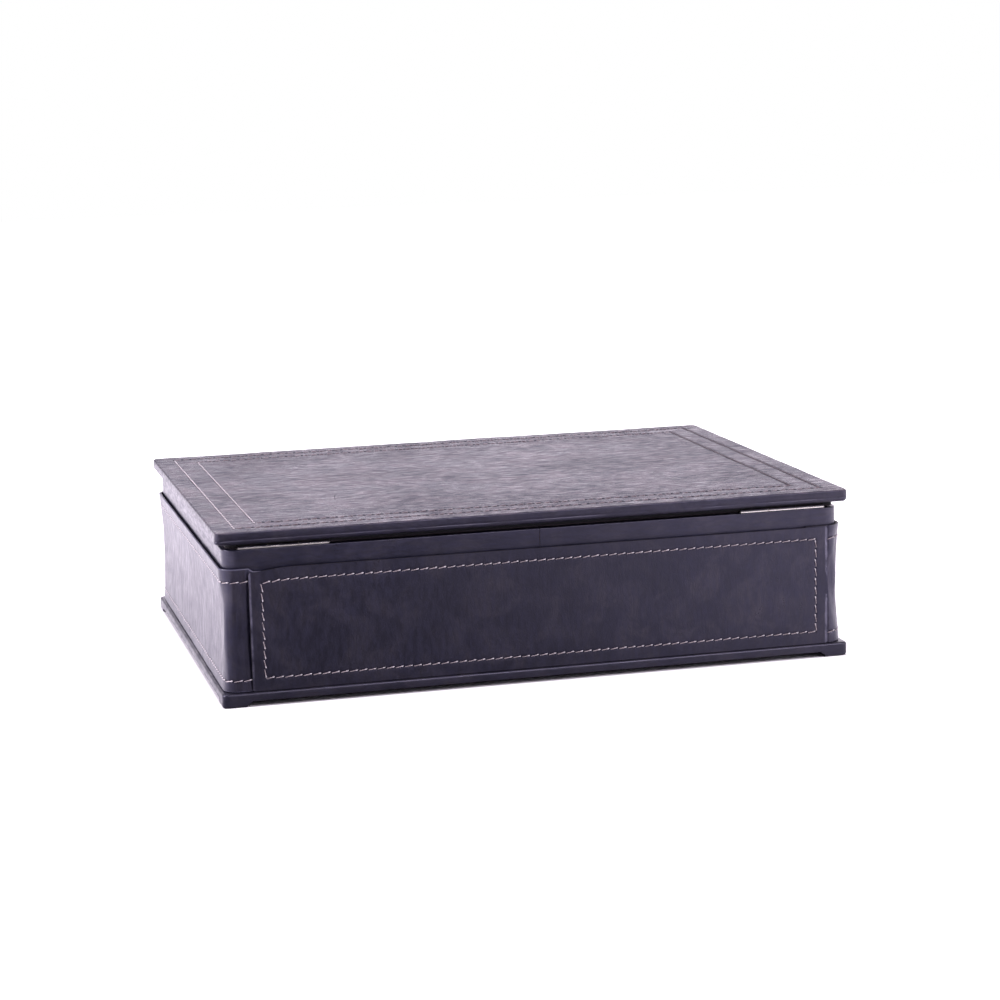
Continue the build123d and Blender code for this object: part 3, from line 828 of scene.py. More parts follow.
def shape_lid_edge(vert, shapes, middle, pressed, high):
    """Gives the lid's edge its pressed crease, its soft bulge and the lump at one corner."""
    spot = vert.co.copy()
    rise = (spot.z - middle) / (high.z - middle)
    nearer, farther = sorted((high.x - abs(spot.x), high.y - abs(spot.y)))
    near_corner = nearer < 4 * MM and 2 * MM < farther < 6 * MM
    crease = shapes.lid_edge_crease * (1 + ripple(spot, 25 * MM, 1.5, 8.0))
    crease = min(CREASE_LIMIT, crease * (CORNER_CREASE if near_corner else 1.0))
    crease *= math.exp(-((spot.z - pressed) / CREASE_WIDTH) ** 2)
    swell = ripple(spot, 9 * MM, shapes.wave, 3.0)
    if abs(vert.normal.x) > 0.8:
        crease, swell = END_CREASE * crease, END_SWELL * swell
    swell -= shapes.lid_edge_bulge * rise**2
    vert.co += vert.normal * (swell - crease)
    from_corner = math.hypot(high.x - spot.x, high.y - spot.y) / LUMP_REACH
    lump = shapes.lid_corner_lump * math.exp(-from_corner**2 - ((rise + 0.55) / 0.5) ** 2)
    vert.co += LUMP_WAY * lump


def lid_marks(tree, place, sewing, rows, high):
    """The marks of sewing and the scars on the lid's top; the scars share the holes' painted shade, and the
    beds' painted shade fades towards its right end.
    """
    parts = axes(tree, place)
    height, hole, bed = join_marks(tree, [
        frame_marks(
            tree, parts["X"], parts["Y"], (-a, a, -b, b), sewing.pitch, 0.4 * MM, sewing.lid_hole,
            long_rows=2.3, low_row=2.6,
        )
        for a, b in rows
    ])
    for middle, turn, size, bend in LID_SCARS:
        scar = scratch(tree, place, middle, turn, size, bend)
        height = times_plus(tree, scar, -0.2 * MM, height)
        # Scars join the hole mask, so they are painted dark as well: painted shade in their grooves.
        hole = larger(tree, hole, times(tree, scar, 0.6))
    # The beds' painted shade and dulling weaken towards the right end, the end that is lit.
    bed = times(tree, bed, remap(tree, parts["X"], 0.5 * high.x, 0.8 * high.x, 1.0, 0.25))
    return height, hole, bed


class STATIONERYBOX_OT_lid_cover(bpy.types.Operator):
    """Makes the leather that covers the lid, with its sewn furrows"""

    bl_idname = "stationery_box.lid_cover"
    bl_label = "Lid Cover"

    def execute(self, context):
        shapes, sewing, finishes = box_settings(context)
        low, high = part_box("lid_leather")
        middle = (low.z + high.z) / 2
        pressed = middle - shapes.lid_crease_drop
        rows = lid_rows(sewing)
        bm = rounded_block(low, high, shapes.lid_corner, shapes.lid_top_round)
        round_edges(bm, rim_edges(bm, low.z), shapes.lid_bottom_round, 4)
        slice_evenly(bm, low, high, shapes.mesh_step)
        for half_length, half_depth in rows:
            slice_mesh(bm, X, furrow_cuts(sewing, (-half_length, half_length)))
            slice_mesh(bm, Y, furrow_cuts(sewing, (-half_depth, half_depth)))
        slice_mesh(bm, Z, [pressed + step * MM for step in CREASE_STEPS])
        bm.normal_update()
        for vert in bm.verts:
            if vert.normal.z > LEVEL:
                shape_lid_top(vert, shapes, sewing, rows)
            elif vert.normal.z > -LEVEL:
                shape_lid_edge(vert, shapes, middle, pressed, high)
        for face in bm.faces:
            face.material_index = int(face.normal.z < 0.5)
        top = leather(
            "lid_leather_top", finishes.lid_leather, (4, 1, 1),
            lambda tree, place: lid_marks(tree, place, sewing, rows, high),
            (0.03, 0.25, 1.5), (0.25, 0.58), finishes.lid_patches,
        )
        edge = leather(
            "lid_leather_edge", finishes.lid_leather, (3, 2, 1), None, (0.02, 0.02, 0.10), (0.28, 0.46)
        )
        make_piece(bm, "lid_cover", "lid", ["lid_leather"], [top, edge])
        return {"FINISHED"}


class STATIONERYBOX_OT_lid_stitching(bpy.types.Operator):
    """Sews the two rectangles of stitches on the lid"""

    bl_idname = "stationery_box.lid_stitching"
    bl_label = "Lid Stitching"

    def execute(self, context):
        _, sewing, finishes = box_settings(context)
        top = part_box("lid_leather")[1].z - sewing.lid_furrow_depth
        draw = random.Random(sewing.seed)
        threads = [
            twisted_thread("dark_thread", finishes.dark_thread, 0.5, 0.0),
            twisted_thread("worn_thread", finishes.lid_thread, 0.3, 0.0),
            thread_material(finishes, "pale_thread"),
        ]
        names = ("lid_stitching_outer", "lid_stitching_inner")
        for name, (half_length, half_depth) in zip(names, lid_rows(sewing)):
            bm = sewn_mesh()
            corners = [
                Vector((side_x * half_length, side_y * half_depth, top))
                for side_x, side_y in ((-1, -1), (1, -1), (1, 1), (-1, 1))
            ]
            for start, end in sides(corners):
                sew_line(bm, sewing, draw, start, end, UP)
            # The right end's rows take the painted lit thread, the left end's rows the darker painted shaded
            # thread, the long rows the shaded lid thread.
            for face in bm.faces:
                place = face.calc_center_median().x / (half_length - 0.5 * MM)
                face.material_index = 1 + int(place > 1) - int(place < -1)
            make_piece(bm, name.replace("stitching", "stitches"), "lid", [name], threads)
        return {"FINISHED"}


def thread_material(finishes, kind="thread"):
    """One kind of thread, made once."""
    name = f"sewing_{kind}"
    return bpy.data.materials.get(name) or twisted_thread(name, getattr(finishes, kind), 0.45, 0.5)


def edge_materials(finishes):
    """The dyed cut edge and its burnished rim, which is painted lighter as a highlight, made once."""
    return [
        bpy.data.materials.get(name) or cut_edge(name, base, gloss)
        for name, base, gloss in (("dyed_edge", finishes.cut_edge, 0.5), ("rubbed_rim", finishes.rim, 0.25))
    ]


# ------------------------------------------------------------------ wall leather


COLLAR_CAD_CORNER = 6.6 * MM  # Radius of the collar's upright corners in the CAD model


def rounder_corner(spot, high, corner):
    """Moves a point of the CAD's collar so that its upright corners get this radius."""
    centre = Vector((math.copysign(high.x - corner, spot.x), math.copysign(high.y - corner, spot.y), 0))
    away = Vector((spot.x, spot.y, 0)) - centre
    if away.x * centre.x <= 0 or away.y * centre.y <= 0:
        return
    slope = away.normalized()
    across, up = abs(slope.x), abs(slope.y)
    step = corner - COLLAR_CAD_CORNER
    reach = step * (across + up) + math.sqrt(COLLAR_CAD_CORNER**2 - step**2 * (across - up) ** 2)
    reach = min(reach, corner / max(across, 1e-9), corner / max(up, 1e-9))
    spot.xy = (centre + away * (corner / reach)).xy


class STATIONERYBOX_OT_wall_cover(bpy.types.Operator):
    """Makes the leather round the walls from the CAD shape, with rounder corners and a soft surface"""

    bl_idname = "stationery_box.wall_cover"
    bl_label = "Wall Cover"

    def execute(self, context):
        shapes, _, finishes = box_settings(context)
        low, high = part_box("wall_leather")
        bm = bmesh.new()
        bm.from_mesh(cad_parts["wall_leather"].data)
        bmesh.ops.remove_doubles(bm, verts=bm.verts[:], dist=SAME)
        bmesh.ops.dissolve_limit(bm, angle_limit=math.radians(0.5), verts=bm.verts[:], edges=bm.edges[:])
        for axis, edge in ((X, high.x), (Y, high.y)):
            slice_mesh(bm, axis, [-edge + shapes.collar_corner, edge - shapes.collar_corner])
            slice_mesh(bm, axis, spaced(-edge, edge, shapes.mesh_step))
        slice_mesh(bm, Z, spaced(low.z, high.z, shapes.mesh_step))
        slice_mesh(bm, Z, [high.z - 2.2 * MM, high.z - 4 * MM])
        for vert in bm.verts:
            rounder_corner(vert.co, high, shapes.collar_corner)
        bm.normal_update()
        for vert in bm.verts:
            spot = vert.co
            outside = abs(spot.x) > high.x - 3 * MM or abs(spot.y) > high.y - 3 * MM
            clear_of_rims = low.z + 1 * MM < spot.z < high.z - 1.5 * MM
            if outside and clear_of_rims and abs(vert.normal.z) < 0.5:
                vert.co += vert.normal * ripple(spot.copy(), 14 * MM, shapes.wave, 2.0)
        material = leather(
            "wall_leather_smooth", finishes.wall_leather, (5, 5, 1), None, (0.012, 0.015, 0.10), (0.27, 0.42)
        )
        make_piece(bm, "wall_cover", "box", ["wall_leather"], [material], math.radians(35))
        return {"FINISHED"}


# ------------------------------------------------------------------ bands


PANEL_EDGE_STEPS = (-1.5, -0.8, -0.3, 0.0, 0.3, 0.8, 1.5)  # Cuts beside a panel's edge, in millimetres
DENT_WIDTH, TUCK_REACH = 1.0 * MM, 3 * MM
THREAD_HALF_WIDTH = 0.4 * MM  # Half the width of the CAD's strips of thread
BED_DEPTH = 0.15 * MM


class BandPath:
    """The way round one end of the box, measured from the middle of the end towards the back."""

    def __init__(self, side, low, high, corner):
        self.side, self.low, self.high, self.corner = side, low, high, corner
        self.half_length, self.half_depth = high.x, high.y
        self.straight = high.y - corner
        self.bend = corner * math.pi / 2

    def distance(self, x, y):
        """How far along the path the nearest point to (x, y) lies."""
        back = 1 if y > 0 else -1
        inset_x, inset_y = abs(x) - (self.half_length - self.corner), abs(y) - self.straight
        if inset_y <= 0:
            return y
        if inset_x <= 0:
            return back * (self.straight + self.bend - inset_x)
        return back * (self.straight + self.corner * math.atan2(inset_y, inset_x))

    def point(self, travel):
        """The point on the path at this distance, its direction and the way out of the box."""
        back = 1 if travel > 0 else -1
        past = abs(travel) - self.straight
        if past <= 0:
            spot, out = Vector((self.half_length, travel, 0)), Vector((1, 0, 0))
        elif past <= self.bend:
            angle = past / self.corner
            out = Vector((math.cos(angle), back * math.sin(angle), 0))
            spot = Vector((self.half_length - self.corner, back * self.straight, 0)) + out * self.corner
        else:
            spot = Vector((self.half_length - self.corner - (past - self.bend), back * self.half_depth, 0))
            out = Vector((0, back, 0))
        spot.x *= self.side
        out.x *= self.side
        return spot, UP.cross(out), out


def band_path(shapes, side):
    """The path of the outer face of the band at one end."""
    corner = shapes.band_corner if side > 0 else shapes.left_band_corner
    return BandPath(side, *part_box("band_right"), corner)


def band_swell(shapes, path, travel, height):
    """How far the band stands out from its path: its edges flare and its face waves."""
    low, high = path.low, path.high
    rise = (height - low.z) / (high.z - low.z) * 2 - 1
    flare = shapes.band_flare * (abs(rise) ** 2.2 - 0.45)
    from_corner = (abs(travel) - path.straight - 0.7 * path.bend) / (9 * MM)
    fold = shapes.band_fold * math.exp(-from_corner**2) * (1 - rise**4)
    fold *= noise.noise(Vector((travel / (5.5 * MM), height / (22 * MM), 3.0 * path.side)))
    from_ridge = (abs(travel) - path.straight - 0.75 * path.bend) / (4.5 * MM)
    bulge = shapes.band_bulge * math.exp(-from_ridge**2) * (1 - rise**2)
    bulge *= (1 + noise.noise(Vector((0.0, height / (14 * MM), 5.0)))) * max(0, path.side)
    return flare + 1.6 * fold + bulge + ripple(Vector((travel, height, path.side)), 28 * MM, shapes.wave)


def band_rows():
    """Heights of the two rows of stitches round the bands."""
    low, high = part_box("band_stitching_right")
    return low.z + THREAD_HALF_WIDTH, high.z - THREAD_HALF_WIDTH


def band_row_ends(shapes, side):
    """Where the rows on one band start and end along its path, at the panels' edges."""
    path = band_path(shapes, side)
    ends = []
    for face, direction in FACES.items():
        low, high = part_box(f"{face}_panel")
        reach = high.x if side > 0 else -low.x
        ends.append(direction * (path.straight + path.bend + path.half_length - path.corner - reach))
    return ends


def band_skin(shapes, sewing, path, low, high):
    """The band's outer face round one end, cut so that it can hold its furrows and its waves."""
    side = path.side
    end = low.x if side > 0 else high.x
    bm = block(Vector((-path.half_length, low.y, low.z)), Vector((path.half_length, high.y, high.z)))
    round_edges(bm, upright_edges(bm), path.corner, 8)
    caps = [face for face in bm.faces if abs(face.normal.z) > 0.5]
    bmesh.ops.delete(bm, geom=caps, context="FACES")
    bmesh.ops.bisect_plane(bm, geom=whole(bm), plane_co=(end, 0, 0), plane_no=(side, 0, 0), clear_inner=True)
    slice_mesh(bm, Y, spaced(-path.straight, path.straight, shapes.mesh_step))
    slice_mesh(bm, X, spaced(*sorted((end, side * (path.half_length - path.corner))), shapes.mesh_step))
    slice_mesh(bm, Z, spaced(low.z, high.z, shapes.mesh_step))
    for face in FACES:
        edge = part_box(f"{face}_panel")[1 if side > 0 else 0].x
        slice_mesh(bm, X, [edge + side * step * MM for step in PANEL_EDGE_STEPS])
    slice_mesh(bm, Z, furrow_cuts(sewing, band_rows()))
    map_mesh(bm, "band", lambda spot: (path.distance(spot.x, spot.y), spot.z))
    bm.normal_update()
    return bm


def shape_band(bm, shapes, sewing, path, ends):
    """Moves a band's points to its flared edges, its furrows, its dents and its tuck."""
    rows = band_rows()
    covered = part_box("back_panel")[1].x
    for vert in bm.verts:
        travel = path.distance(vert.co.x, vert.co.y)
        out = path.point(travel)[2]
        dip = sum(furrow(sewing, sewing.furrow_depth, vert.co.z - row) for row in rows)
        beside = min(abs(travel - ends[0]), abs(travel - ends[1])) / DENT_WIDTH
        dip += shapes.band_dent * math.exp(-beside**2)
        tuck = max(0.0, min(1.0, (covered - vert.co.x) / TUCK_REACH)) * max(0, path.side)
        tuck *= max(0.0, (vert.co.z - rows[1]) / (path.high.z - rows[1]))
        vert.co += out * (band_swell(shapes, path, travel, vert.co.z) - dip)
        vert.co.z -= shapes.band_tuck * tuck


def band_marks(tree, sewing, ends):
    """The marks of the two rows of sewing round a band, whose beds are neither dulled nor given painted
    shade.
    """
    parts = mapped(tree, "band")
    pitch = fitted_pitch(*ends, sewing.pitch)
    height, hole, _ = join_marks(tree, [
        row_marks(tree, minus(tree, parts["Y"], row), parts["X"], *ends, pitch, BED_DEPTH, sewing.hole)
        for row in band_rows()
    ])
    return height, hole, 0.0


class STATIONERYBOX_OT_bands(bpy.types.Operator):
    """Makes the thick leather bands round both ends of the box"""

    bl_idname = "stationery_box.bands"
    bl_label = "Bands"

    def execute(self, context):
        shapes, sewing, finishes = box_settings(context)
        for name, side in SIDES.items():
            path = band_path(shapes, side)
            ends = sorted(band_row_ends(shapes, side))
            bm = band_skin(shapes, sewing, path, *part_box(f"band_{name}"))
            shape_band(bm, shapes, sewing, path, ends)
            material = leather(
                f"band_leather_{name}", finishes.band_leather, (1, 1, 4),
                lambda tree, place: band_marks(tree, sewing, ends),
                (0.012, 0.015, 0.12), (0.27, 0.44), finishes.band_patches if side < 0 else None,
            )
            band = make_piece(
                bm, f"band_{name}_cover", "box", [f"band_{name}"],
                [material, *edge_materials(finishes)],
            )
            thicken(band, shapes.band_thickness, shapes.cut_edge_round)
        return {"FINISHED"}


class STATIONERYBOX_OT_band_stitching(bpy.types.Operator):
    """Sews the two rows of stitches round each band"""

    bl_idname = "stationery_box.band_stitching"
    bl_label = "Band Stitching"

    def execute(self, context):
        shapes, sewing, finishes = box_settings(context)
        draw = random.Random(sewing.seed + 1)
        threads = [thread_material(finishes), thread_material(finishes, "pale_thread")]
        for name, side in SIDES.items():
            path = band_path(shapes, side)
            start, end = band_row_ends(shapes, side)
            pitch = fitted_pitch(start, end, sewing.pitch)
            template = stitch_mesh(sewing, pitch - sewing.gap)
            bm = sewn_mesh()
            for row in band_rows():
                for index in range(round((end - start) / pitch)):
                    travel = start + pitch * (index + 0.5)
                    spot, along, out = path.point(travel)
                    spot = spot - out * (sewing.furrow_depth - band_swell(shapes, path, travel, row))
                    spot.z = row
                    sew(bm, sewing, template, draw, spot, along, out)
            bpy.data.meshes.remove(template)
            # Stitches on the right band's end face take the painted lit thread.
            for face in bm.faces:
                face.material_index = int(face.calc_center_median().x > path.half_length - 3 * MM)
            make_piece(bm, f"band_stitches_{name}", "box", [f"band_stitching_{name}"], threads)
        return {"FINISHED"}


# ------------------------------------------------------------------ panels


def panel_rectangle(shapes, sewing, face):
    """The rectangle of stitches on a panel: its ends and its bottom and top heights at the corners."""
    low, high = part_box(f"{face}_panel")
    inset = sewing.panel_inset
    return low.x + inset, high.x - inset, low.z + inset, high.z - shapes.panel_bow - sewing.panel_top_inset


def panel_rise(shapes, low, high, x, z):
    """How far a point of a panel is raised: its top edge is level and falls off at one corner."""
    from_corner = max(0.0, min(1.0, (high.x - x) / shapes.panel_drop))
    level = from_corner - 0.08 * math.sin(2 * math.pi * from_corner)
    share = (z - low.z) / (high.z - shapes.panel_bow - low.z)
    return shapes.panel_bow * level * max(0.0, share) ** 3


def rubbed_ends(tree, left, right):
    """Mask of the painted highlight strips along a panel's upright edges, stronger on the left one."""
    across = mapped(tree, "panel")["X"]
    return larger(
        tree,
        remap(tree, across, left + 0.7 * MM, left + 1.7 * MM, 4.0, 0.0, True),
        remap(tree, across, right - 1.4 * MM, right - 0.7 * MM, 0.0, 1.5, True),
    )


def panel_swell(shapes, face, x, z):
    """How far a panel's face stands out: a soft wave."""
    return ripple(Vector((x, FACES[face], z)), 40 * MM, shapes.wave)


def panel_skin(shapes, sewing, face, low, high):
    """A panel's outer face, waved and furrowed, with its uneven top edge."""
    direction = FACES[face]
    outer = high.y if direction > 0 else low.y
    top = high.z - shapes.panel_bow
    bm = bmesh.new()
    corners = [
        bm.verts.new((x, outer, z)) for x, z in ((low.x, low.z), (high.x, low.z), (high.x, top), (low.x, top))
    ]
    bm.faces.new(corners[::-direction])
    bmesh.ops.bevel(
        bm, geom=bm.verts[:], offset=shapes.panel_corner, offset_type="OFFSET", segments=4, profile=0.5,
        affect="VERTICES", material=-1,
    )
    left, right, bottom, upper = panel_rectangle(shapes, sewing, face)
    slice_mesh(bm, X, spaced(low.x, high.x, shapes.mesh_step))
    slice_mesh(bm, Z, spaced(low.z, top, shapes.mesh_step))
    slice_mesh(bm, X, furrow_cuts(sewing, (left, right)))
    slice_mesh(bm, Z, furrow_cuts(sewing, (bottom, upper)))
    map_mesh(bm, "panel", lambda spot: (spot.x, spot.z))
    middle_x, middle_z = (left + right) / 2, (bottom + upper) / 2
    half_x, half_z = (right - left) / 2, (upper - bottom) / 2
    for vert in bm.verts:
        x, z = vert.co.x, vert.co.z
        away = rectangle_distance(x - middle_x, z - middle_z, half_x, half_z)
        dip = furrow(sewing, sewing.furrow_depth, away)
        vert.co.y += direction * (panel_swell(shapes, face, x, z) - dip)
        vert.co.z += panel_rise(shapes, low, high, x, z)
    bm.normal_update()
    return bm


def panel_marks(tree, sewing, rectangle):
    """The marks of the rectangle of sewing on a panel, whose beds are neither dulled nor given painted shade.
    """
    parts = mapped(tree, "panel")
    height, hole, _ = frame_marks(
        tree, parts["X"], parts["Y"], rectangle, sewing.pitch, BED_DEPTH, sewing.hole
    )
    return height, hole, 0.0


class STATIONERYBOX_OT_panels(bpy.types.Operator):
    """Makes the thick leather panels on the front and the back"""

    bl_idname = "stationery_box.panels"
    bl_label = "Panels"

    def execute(self, context):
        shapes, sewing, finishes = box_settings(context)
        for face in FACES:
            low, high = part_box(f"{face}_panel")
            rectangle = panel_rectangle(shapes, sewing, face)
            bm = panel_skin(shapes, sewing, face, low, high)
            # The panels' upright ends get pale strips, a painted highlight.
            material = leather(
                f"panel_leather_{face}", finishes.panel_leather, (1.2, 1, 4),
                lambda tree, place: panel_marks(tree, sewing, rectangle),
                (0.018, 0.012, 0.13), (0.27, 0.50), finishes.rubbed_edge,
                lambda tree: rubbed_ends(tree, low.x, high.x),
            )
            panel = make_piece(
                bm, f"{face}_panel_cover", "box", [f"{face}_panel"],
                [material, *edge_materials(finishes)],
            )
            thicken(panel, shapes.panel_thickness, shapes.cut_edge_round)
        return {"FINISHED"}


class STATIONERYBOX_OT_panel_stitching(bpy.types.Operator):
    """Sews the rectangle of stitches on each panel"""

    bl_idname = "stationery_box.panel_stitching"
    bl_label = "Panel Stitching"

    def execute(self, context):
        shapes, sewing, finishes = box_settings(context)
        draw = random.Random(sewing.seed + 2)
        for face, direction in FACES.items():
            low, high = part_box(f"{face}_panel")
            outer = high.y if direction > 0 else low.y
            left, right, bottom, top = panel_rectangle(shapes, sewing, face)
            outward = Vector((0, direction, 0))
            rightward = UP.cross(outward)
            corners = [
                Vector((x, 0, z)) for x, z in ((left, bottom), (right, bottom), (right, top), (left, top))
            ]
            bm = sewn_mesh()
            for start, end in sides(corners[::-direction]):
                pitch = fitted_pitch(0.0, (end - start).length, sewing.pitch)
                template = stitch_mesh(sewing, pitch - sewing.gap)
                for index in range(round((end - start).length / pitch)):
                    ends = [start + (end - start).normalized() * pitch * step for step in (index, index + 1)]
                    for spot in ends:
                        spot.z += panel_rise(shapes, low, high, spot.x, spot.z)
                    centre, along = (ends[0] + ends[1]) / 2, (ends[1] - ends[0]).normalized()
                    if along.dot(rightward) < -0.5:
                        along = -along
                    sink = sewing.furrow_depth - panel_swell(shapes, face, centre.x, centre.z)
                    centre.y = outer - direction * sink
                    sew(bm, sewing, template, draw, centre, along, outward)
                bpy.data.meshes.remove(template)
            replaced = [f"{face}_panel_stitching"]
            make_piece(bm, f"{face}_panel_stitches", "box", replaced, [thread_material(finishes)])
        return {"FINISHED"}


# ------------------------------------------------------------------ base


COVE_ANGLES = (0, 15, 30, 45, 58, 68, 76, 82, 87, 90)  # Steps down a foot, in degrees round its cove
FEET = ("foot_front_left", "foot_front_right", "foot_back_left", "foot_back_right")


def way_out(spot, high, corner, inset):
    """The way out of the box for a point on its outline, and no way for any other point."""
    past = Vector((
        max(0.0, abs(spot.x) - (high.x - corner)), max(0.0, abs(spot.y) - (high.y - corner)), 0.0
    ))
    if past.length < corner - inset - 0.01 * MM:
        return Vector((0, 0, 0))
    past.normalize()
    return Vector((math.copysign(past.x, spot.x), math.copysign(past.y, spot.y), 0))


def draw_out(bm, faces):
    """Draws some faces out of a mesh, leaves none behind, and gives the new points and faces."""
    made = bmesh.ops.extrude_face_region(bm, geom=faces)["geom"]
    bmesh.ops.delete(bm, geom=faces, context="FACES_ONLY")
    kinds = (bmesh.types.BMVert, bmesh.types.BMFace)
    return [[item for item in made if isinstance(item, kind)] for kind in kinds]


def draw_feet(bm, feet, shapes, high):
    """Draws the four feet down from the base, coved on the inside and rounded under the outside."""
    cove, under = shapes.foot_cove, shapes.foot_round
    reach, inset = shapes.foot_reach, 0.0
    for angle in COVE_ANGLES:
        new_reach = shapes.foot_reach - cove * math.sin(math.radians(angle))
        height = cove * math.cos(math.radians(angle))
        new_inset = under - math.sqrt(under**2 - max(0.0, under - height) ** 2)
        points, feet = draw_out(bm, feet)
        for vert in points:
            vert.co.z = height
            for axis, edge in ((X, high.x), (Y, high.y)):
                if abs(abs(vert.co[axis]) - (edge - reach)) < 1e-5:
                    vert.co[axis] = math.copysign(edge - new_reach, vert.co[axis])
            vert.co -= way_out(vert.co, high, shapes.lid_corner, inset) * (new_inset - inset)
        reach, inset = new_reach, new_inset


class STATIONERYBOX_OT_base_cover(bpy.types.Operator):
    """Makes the leather over the base board and its feet, in one skin"""

    bl_idname = "stationery_box.base_cover"
    bl_label = "Base Cover"

    def execute(self, context):
        shapes, _, finishes = box_settings(context)
        low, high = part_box("base_leather")
        bm = rounded_block(low, high, shapes.lid_corner, shapes.base_top_round)
        inner_x, inner_y = high.x - shapes.foot_reach, high.y - shapes.foot_reach
        opening_x, opening_y = high.x - shapes.base_turn_in, high.y - shapes.base_turn_in
        slice_mesh(bm, X, [-inner_x, inner_x, -opening_x, opening_x])
        slice_mesh(bm, Y, [-inner_y, inner_y, -opening_y, opening_y])
        under = [
            (face, abs(face.calc_center_median().x), abs(face.calc_center_median().y))
            for face in bm.faces if face.normal.z < -LEVEL
        ]
        recess = [face for face, x, y in under if x < opening_x and y < opening_y]
        feet = [face for face, x, y in under if x > inner_x and y > inner_y]
        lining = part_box("base_felt")
        points = draw_out(bm, recess)[0]
        bmesh.ops.translate(bm, vec=(0, 0, lining[1].z - lining[0].z), verts=points)
        draw_feet(bm, feet, shapes, high)
        slice_evenly(bm, low, high, shapes.mesh_step)
        bm.normal_update()
        for vert in bm.verts:
            if abs(vert.normal.z) < LEVEL and vert.co.z > low.z - 0.1 * MM:
                vert.co += vert.normal * ripple(vert.co.copy(), 16 * MM, 0.5 * shapes.wave, 5.0)
        material = leather(
            "base_leather_smooth", finishes.base_leather, (3, 3, 1), None, (0.012, 0.008, 0.035), (0.28, 0.44)
        )
        base = make_piece(bm, "base_cover", "box", ["base_leather", *FEET], [material])
        soften(base, 0.3 * MM, 2)
        return {"FINISHED"}


# ------------------------------------------------------------------ linings


BOARDS = ("base_board", "lid_board", "wall_front", "wall_back", "wall_left", "wall_right")
CARDS = ("lid_card", "front_panel_card", "back_panel_card")


class STATIONERYBOX_OT_linings(bpy.types.Operator):
    """Makes the suede linings and the felt, with soft edges"""

    bl_idname = "stationery_box.linings"
    bl_label = "Linings"

    def execute(self, context):
        shapes, _, finishes = box_settings(context)
        suede = napped("lining_suede", finishes.suede, 0.5 * MM, 0.5)
        felt = napped("base_felt_pressed", finishes.felt, 0.9 * MM, 0.2)
        pieces = [("floor_lining", suede, "suede"), ("base_felt", felt, "felt")]
        pieces += [(f"wall_lining_{side}", suede, "suede") for side in ("front", "back", "left", "right")]
        for name, material, slot in pieces:
            low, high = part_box(name)
            bm = block(low, high)
            round_edges(bm, bm.edges, 0.35 * min(high - low), 3)
            slice_evenly(bm, low, high, 2 * shapes.mesh_step, (X, Y, Z))
            bm.normal_update()
            for vert in bm.verts:
                vert.co += vert.normal * (ripple(vert.co.copy(), 25 * MM, 0.06 * MM, 9.0) - 0.04 * MM)
            make_piece(bm, f"{name}_sheet", "box", [name], [material])
        paint_node("lid_lining", suede)
        return {"FINISHED"}


class STATIONERYBOX_OT_kept_nodes(bpy.types.Operator):
    """Gives the boards, cards, walls and hinges their finishes"""

    bl_idname = "stationery_box.kept_nodes"
    bl_label = "Boards and Hinges"

    def execute(self, context):
        finishes = context.scene.box_finishes
        board = fibreboard("fibreboard", finishes.board)
        dark_board = fibreboard("stained_board", [0.25 * value for value in finishes.wall_leather])
        card = fibreboard("grey_card", finishes.card)
        nickel = nickel_plate("nickel_plate", finishes.nickel)
        hinges = [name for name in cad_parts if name.startswith("hinge_")]
        for names, material in (
            (BOARDS, board), (["lid_lining_board"], dark_board), (CARDS, card), (hinges, nickel)
        ):
            for name in names:
                paint_node(name, material)
        return {"FINISHED"}


# ------------------------------------------------------------------ stage


def soft_lamp(name, place, aim, size, power, tint):
    """A large soft lamp at a place, turned towards a point."""
    data = bpy.data.lights.new(name, "AREA")
    data.shape = "RECTANGLE"
    data.size, data.size_y = size
    data.energy = power
    data.color = tint
    lamp = bpy.data.objects.new(name, data)
    lamp.location = place
    lamp.rotation_mode = "QUATERNION"
    lamp.rotation_quaternion = (Vector(place) - Vector(aim)).to_track_quat("Z", "Y")
    lamp.visible_camera = False
    bpy.context.scene.collection.objects.link(lamp)


def ray_shares(tree):
    """One for rays that see the background straight or through glass, and one for reflected rays."""
    rays = node(tree, "ShaderNodeLightPath").outputs
    return larger(tree, rays["Is Camera Ray"], rays["Is Transmission Ray"]), rays["Is Glossy Ray"]


def floor_shares(tree, parts, high, near_shine):
    """How strongly a reflection shows each part of the floor: all of it beyond the box, less before it."""
    shine = remap(tree, parts["X"], -2.2 * high.x, 0.67 * high.x, near_shine, 0.0, True)
    shine = larger(tree, shine, remap(tree, parts["X"], 1.1 * high.x, 2.2 * high.x, 0.0, 0.8, True))
    shine = plus(tree, shine, remap(tree, parts["X"], -2.3 * high.x, -1.6 * high.x, 0.4, 0.0, True))
    return remap(tree, parts["Y"], 0.8 * high.y, 1.05 * high.y, 1.0, shine, True)


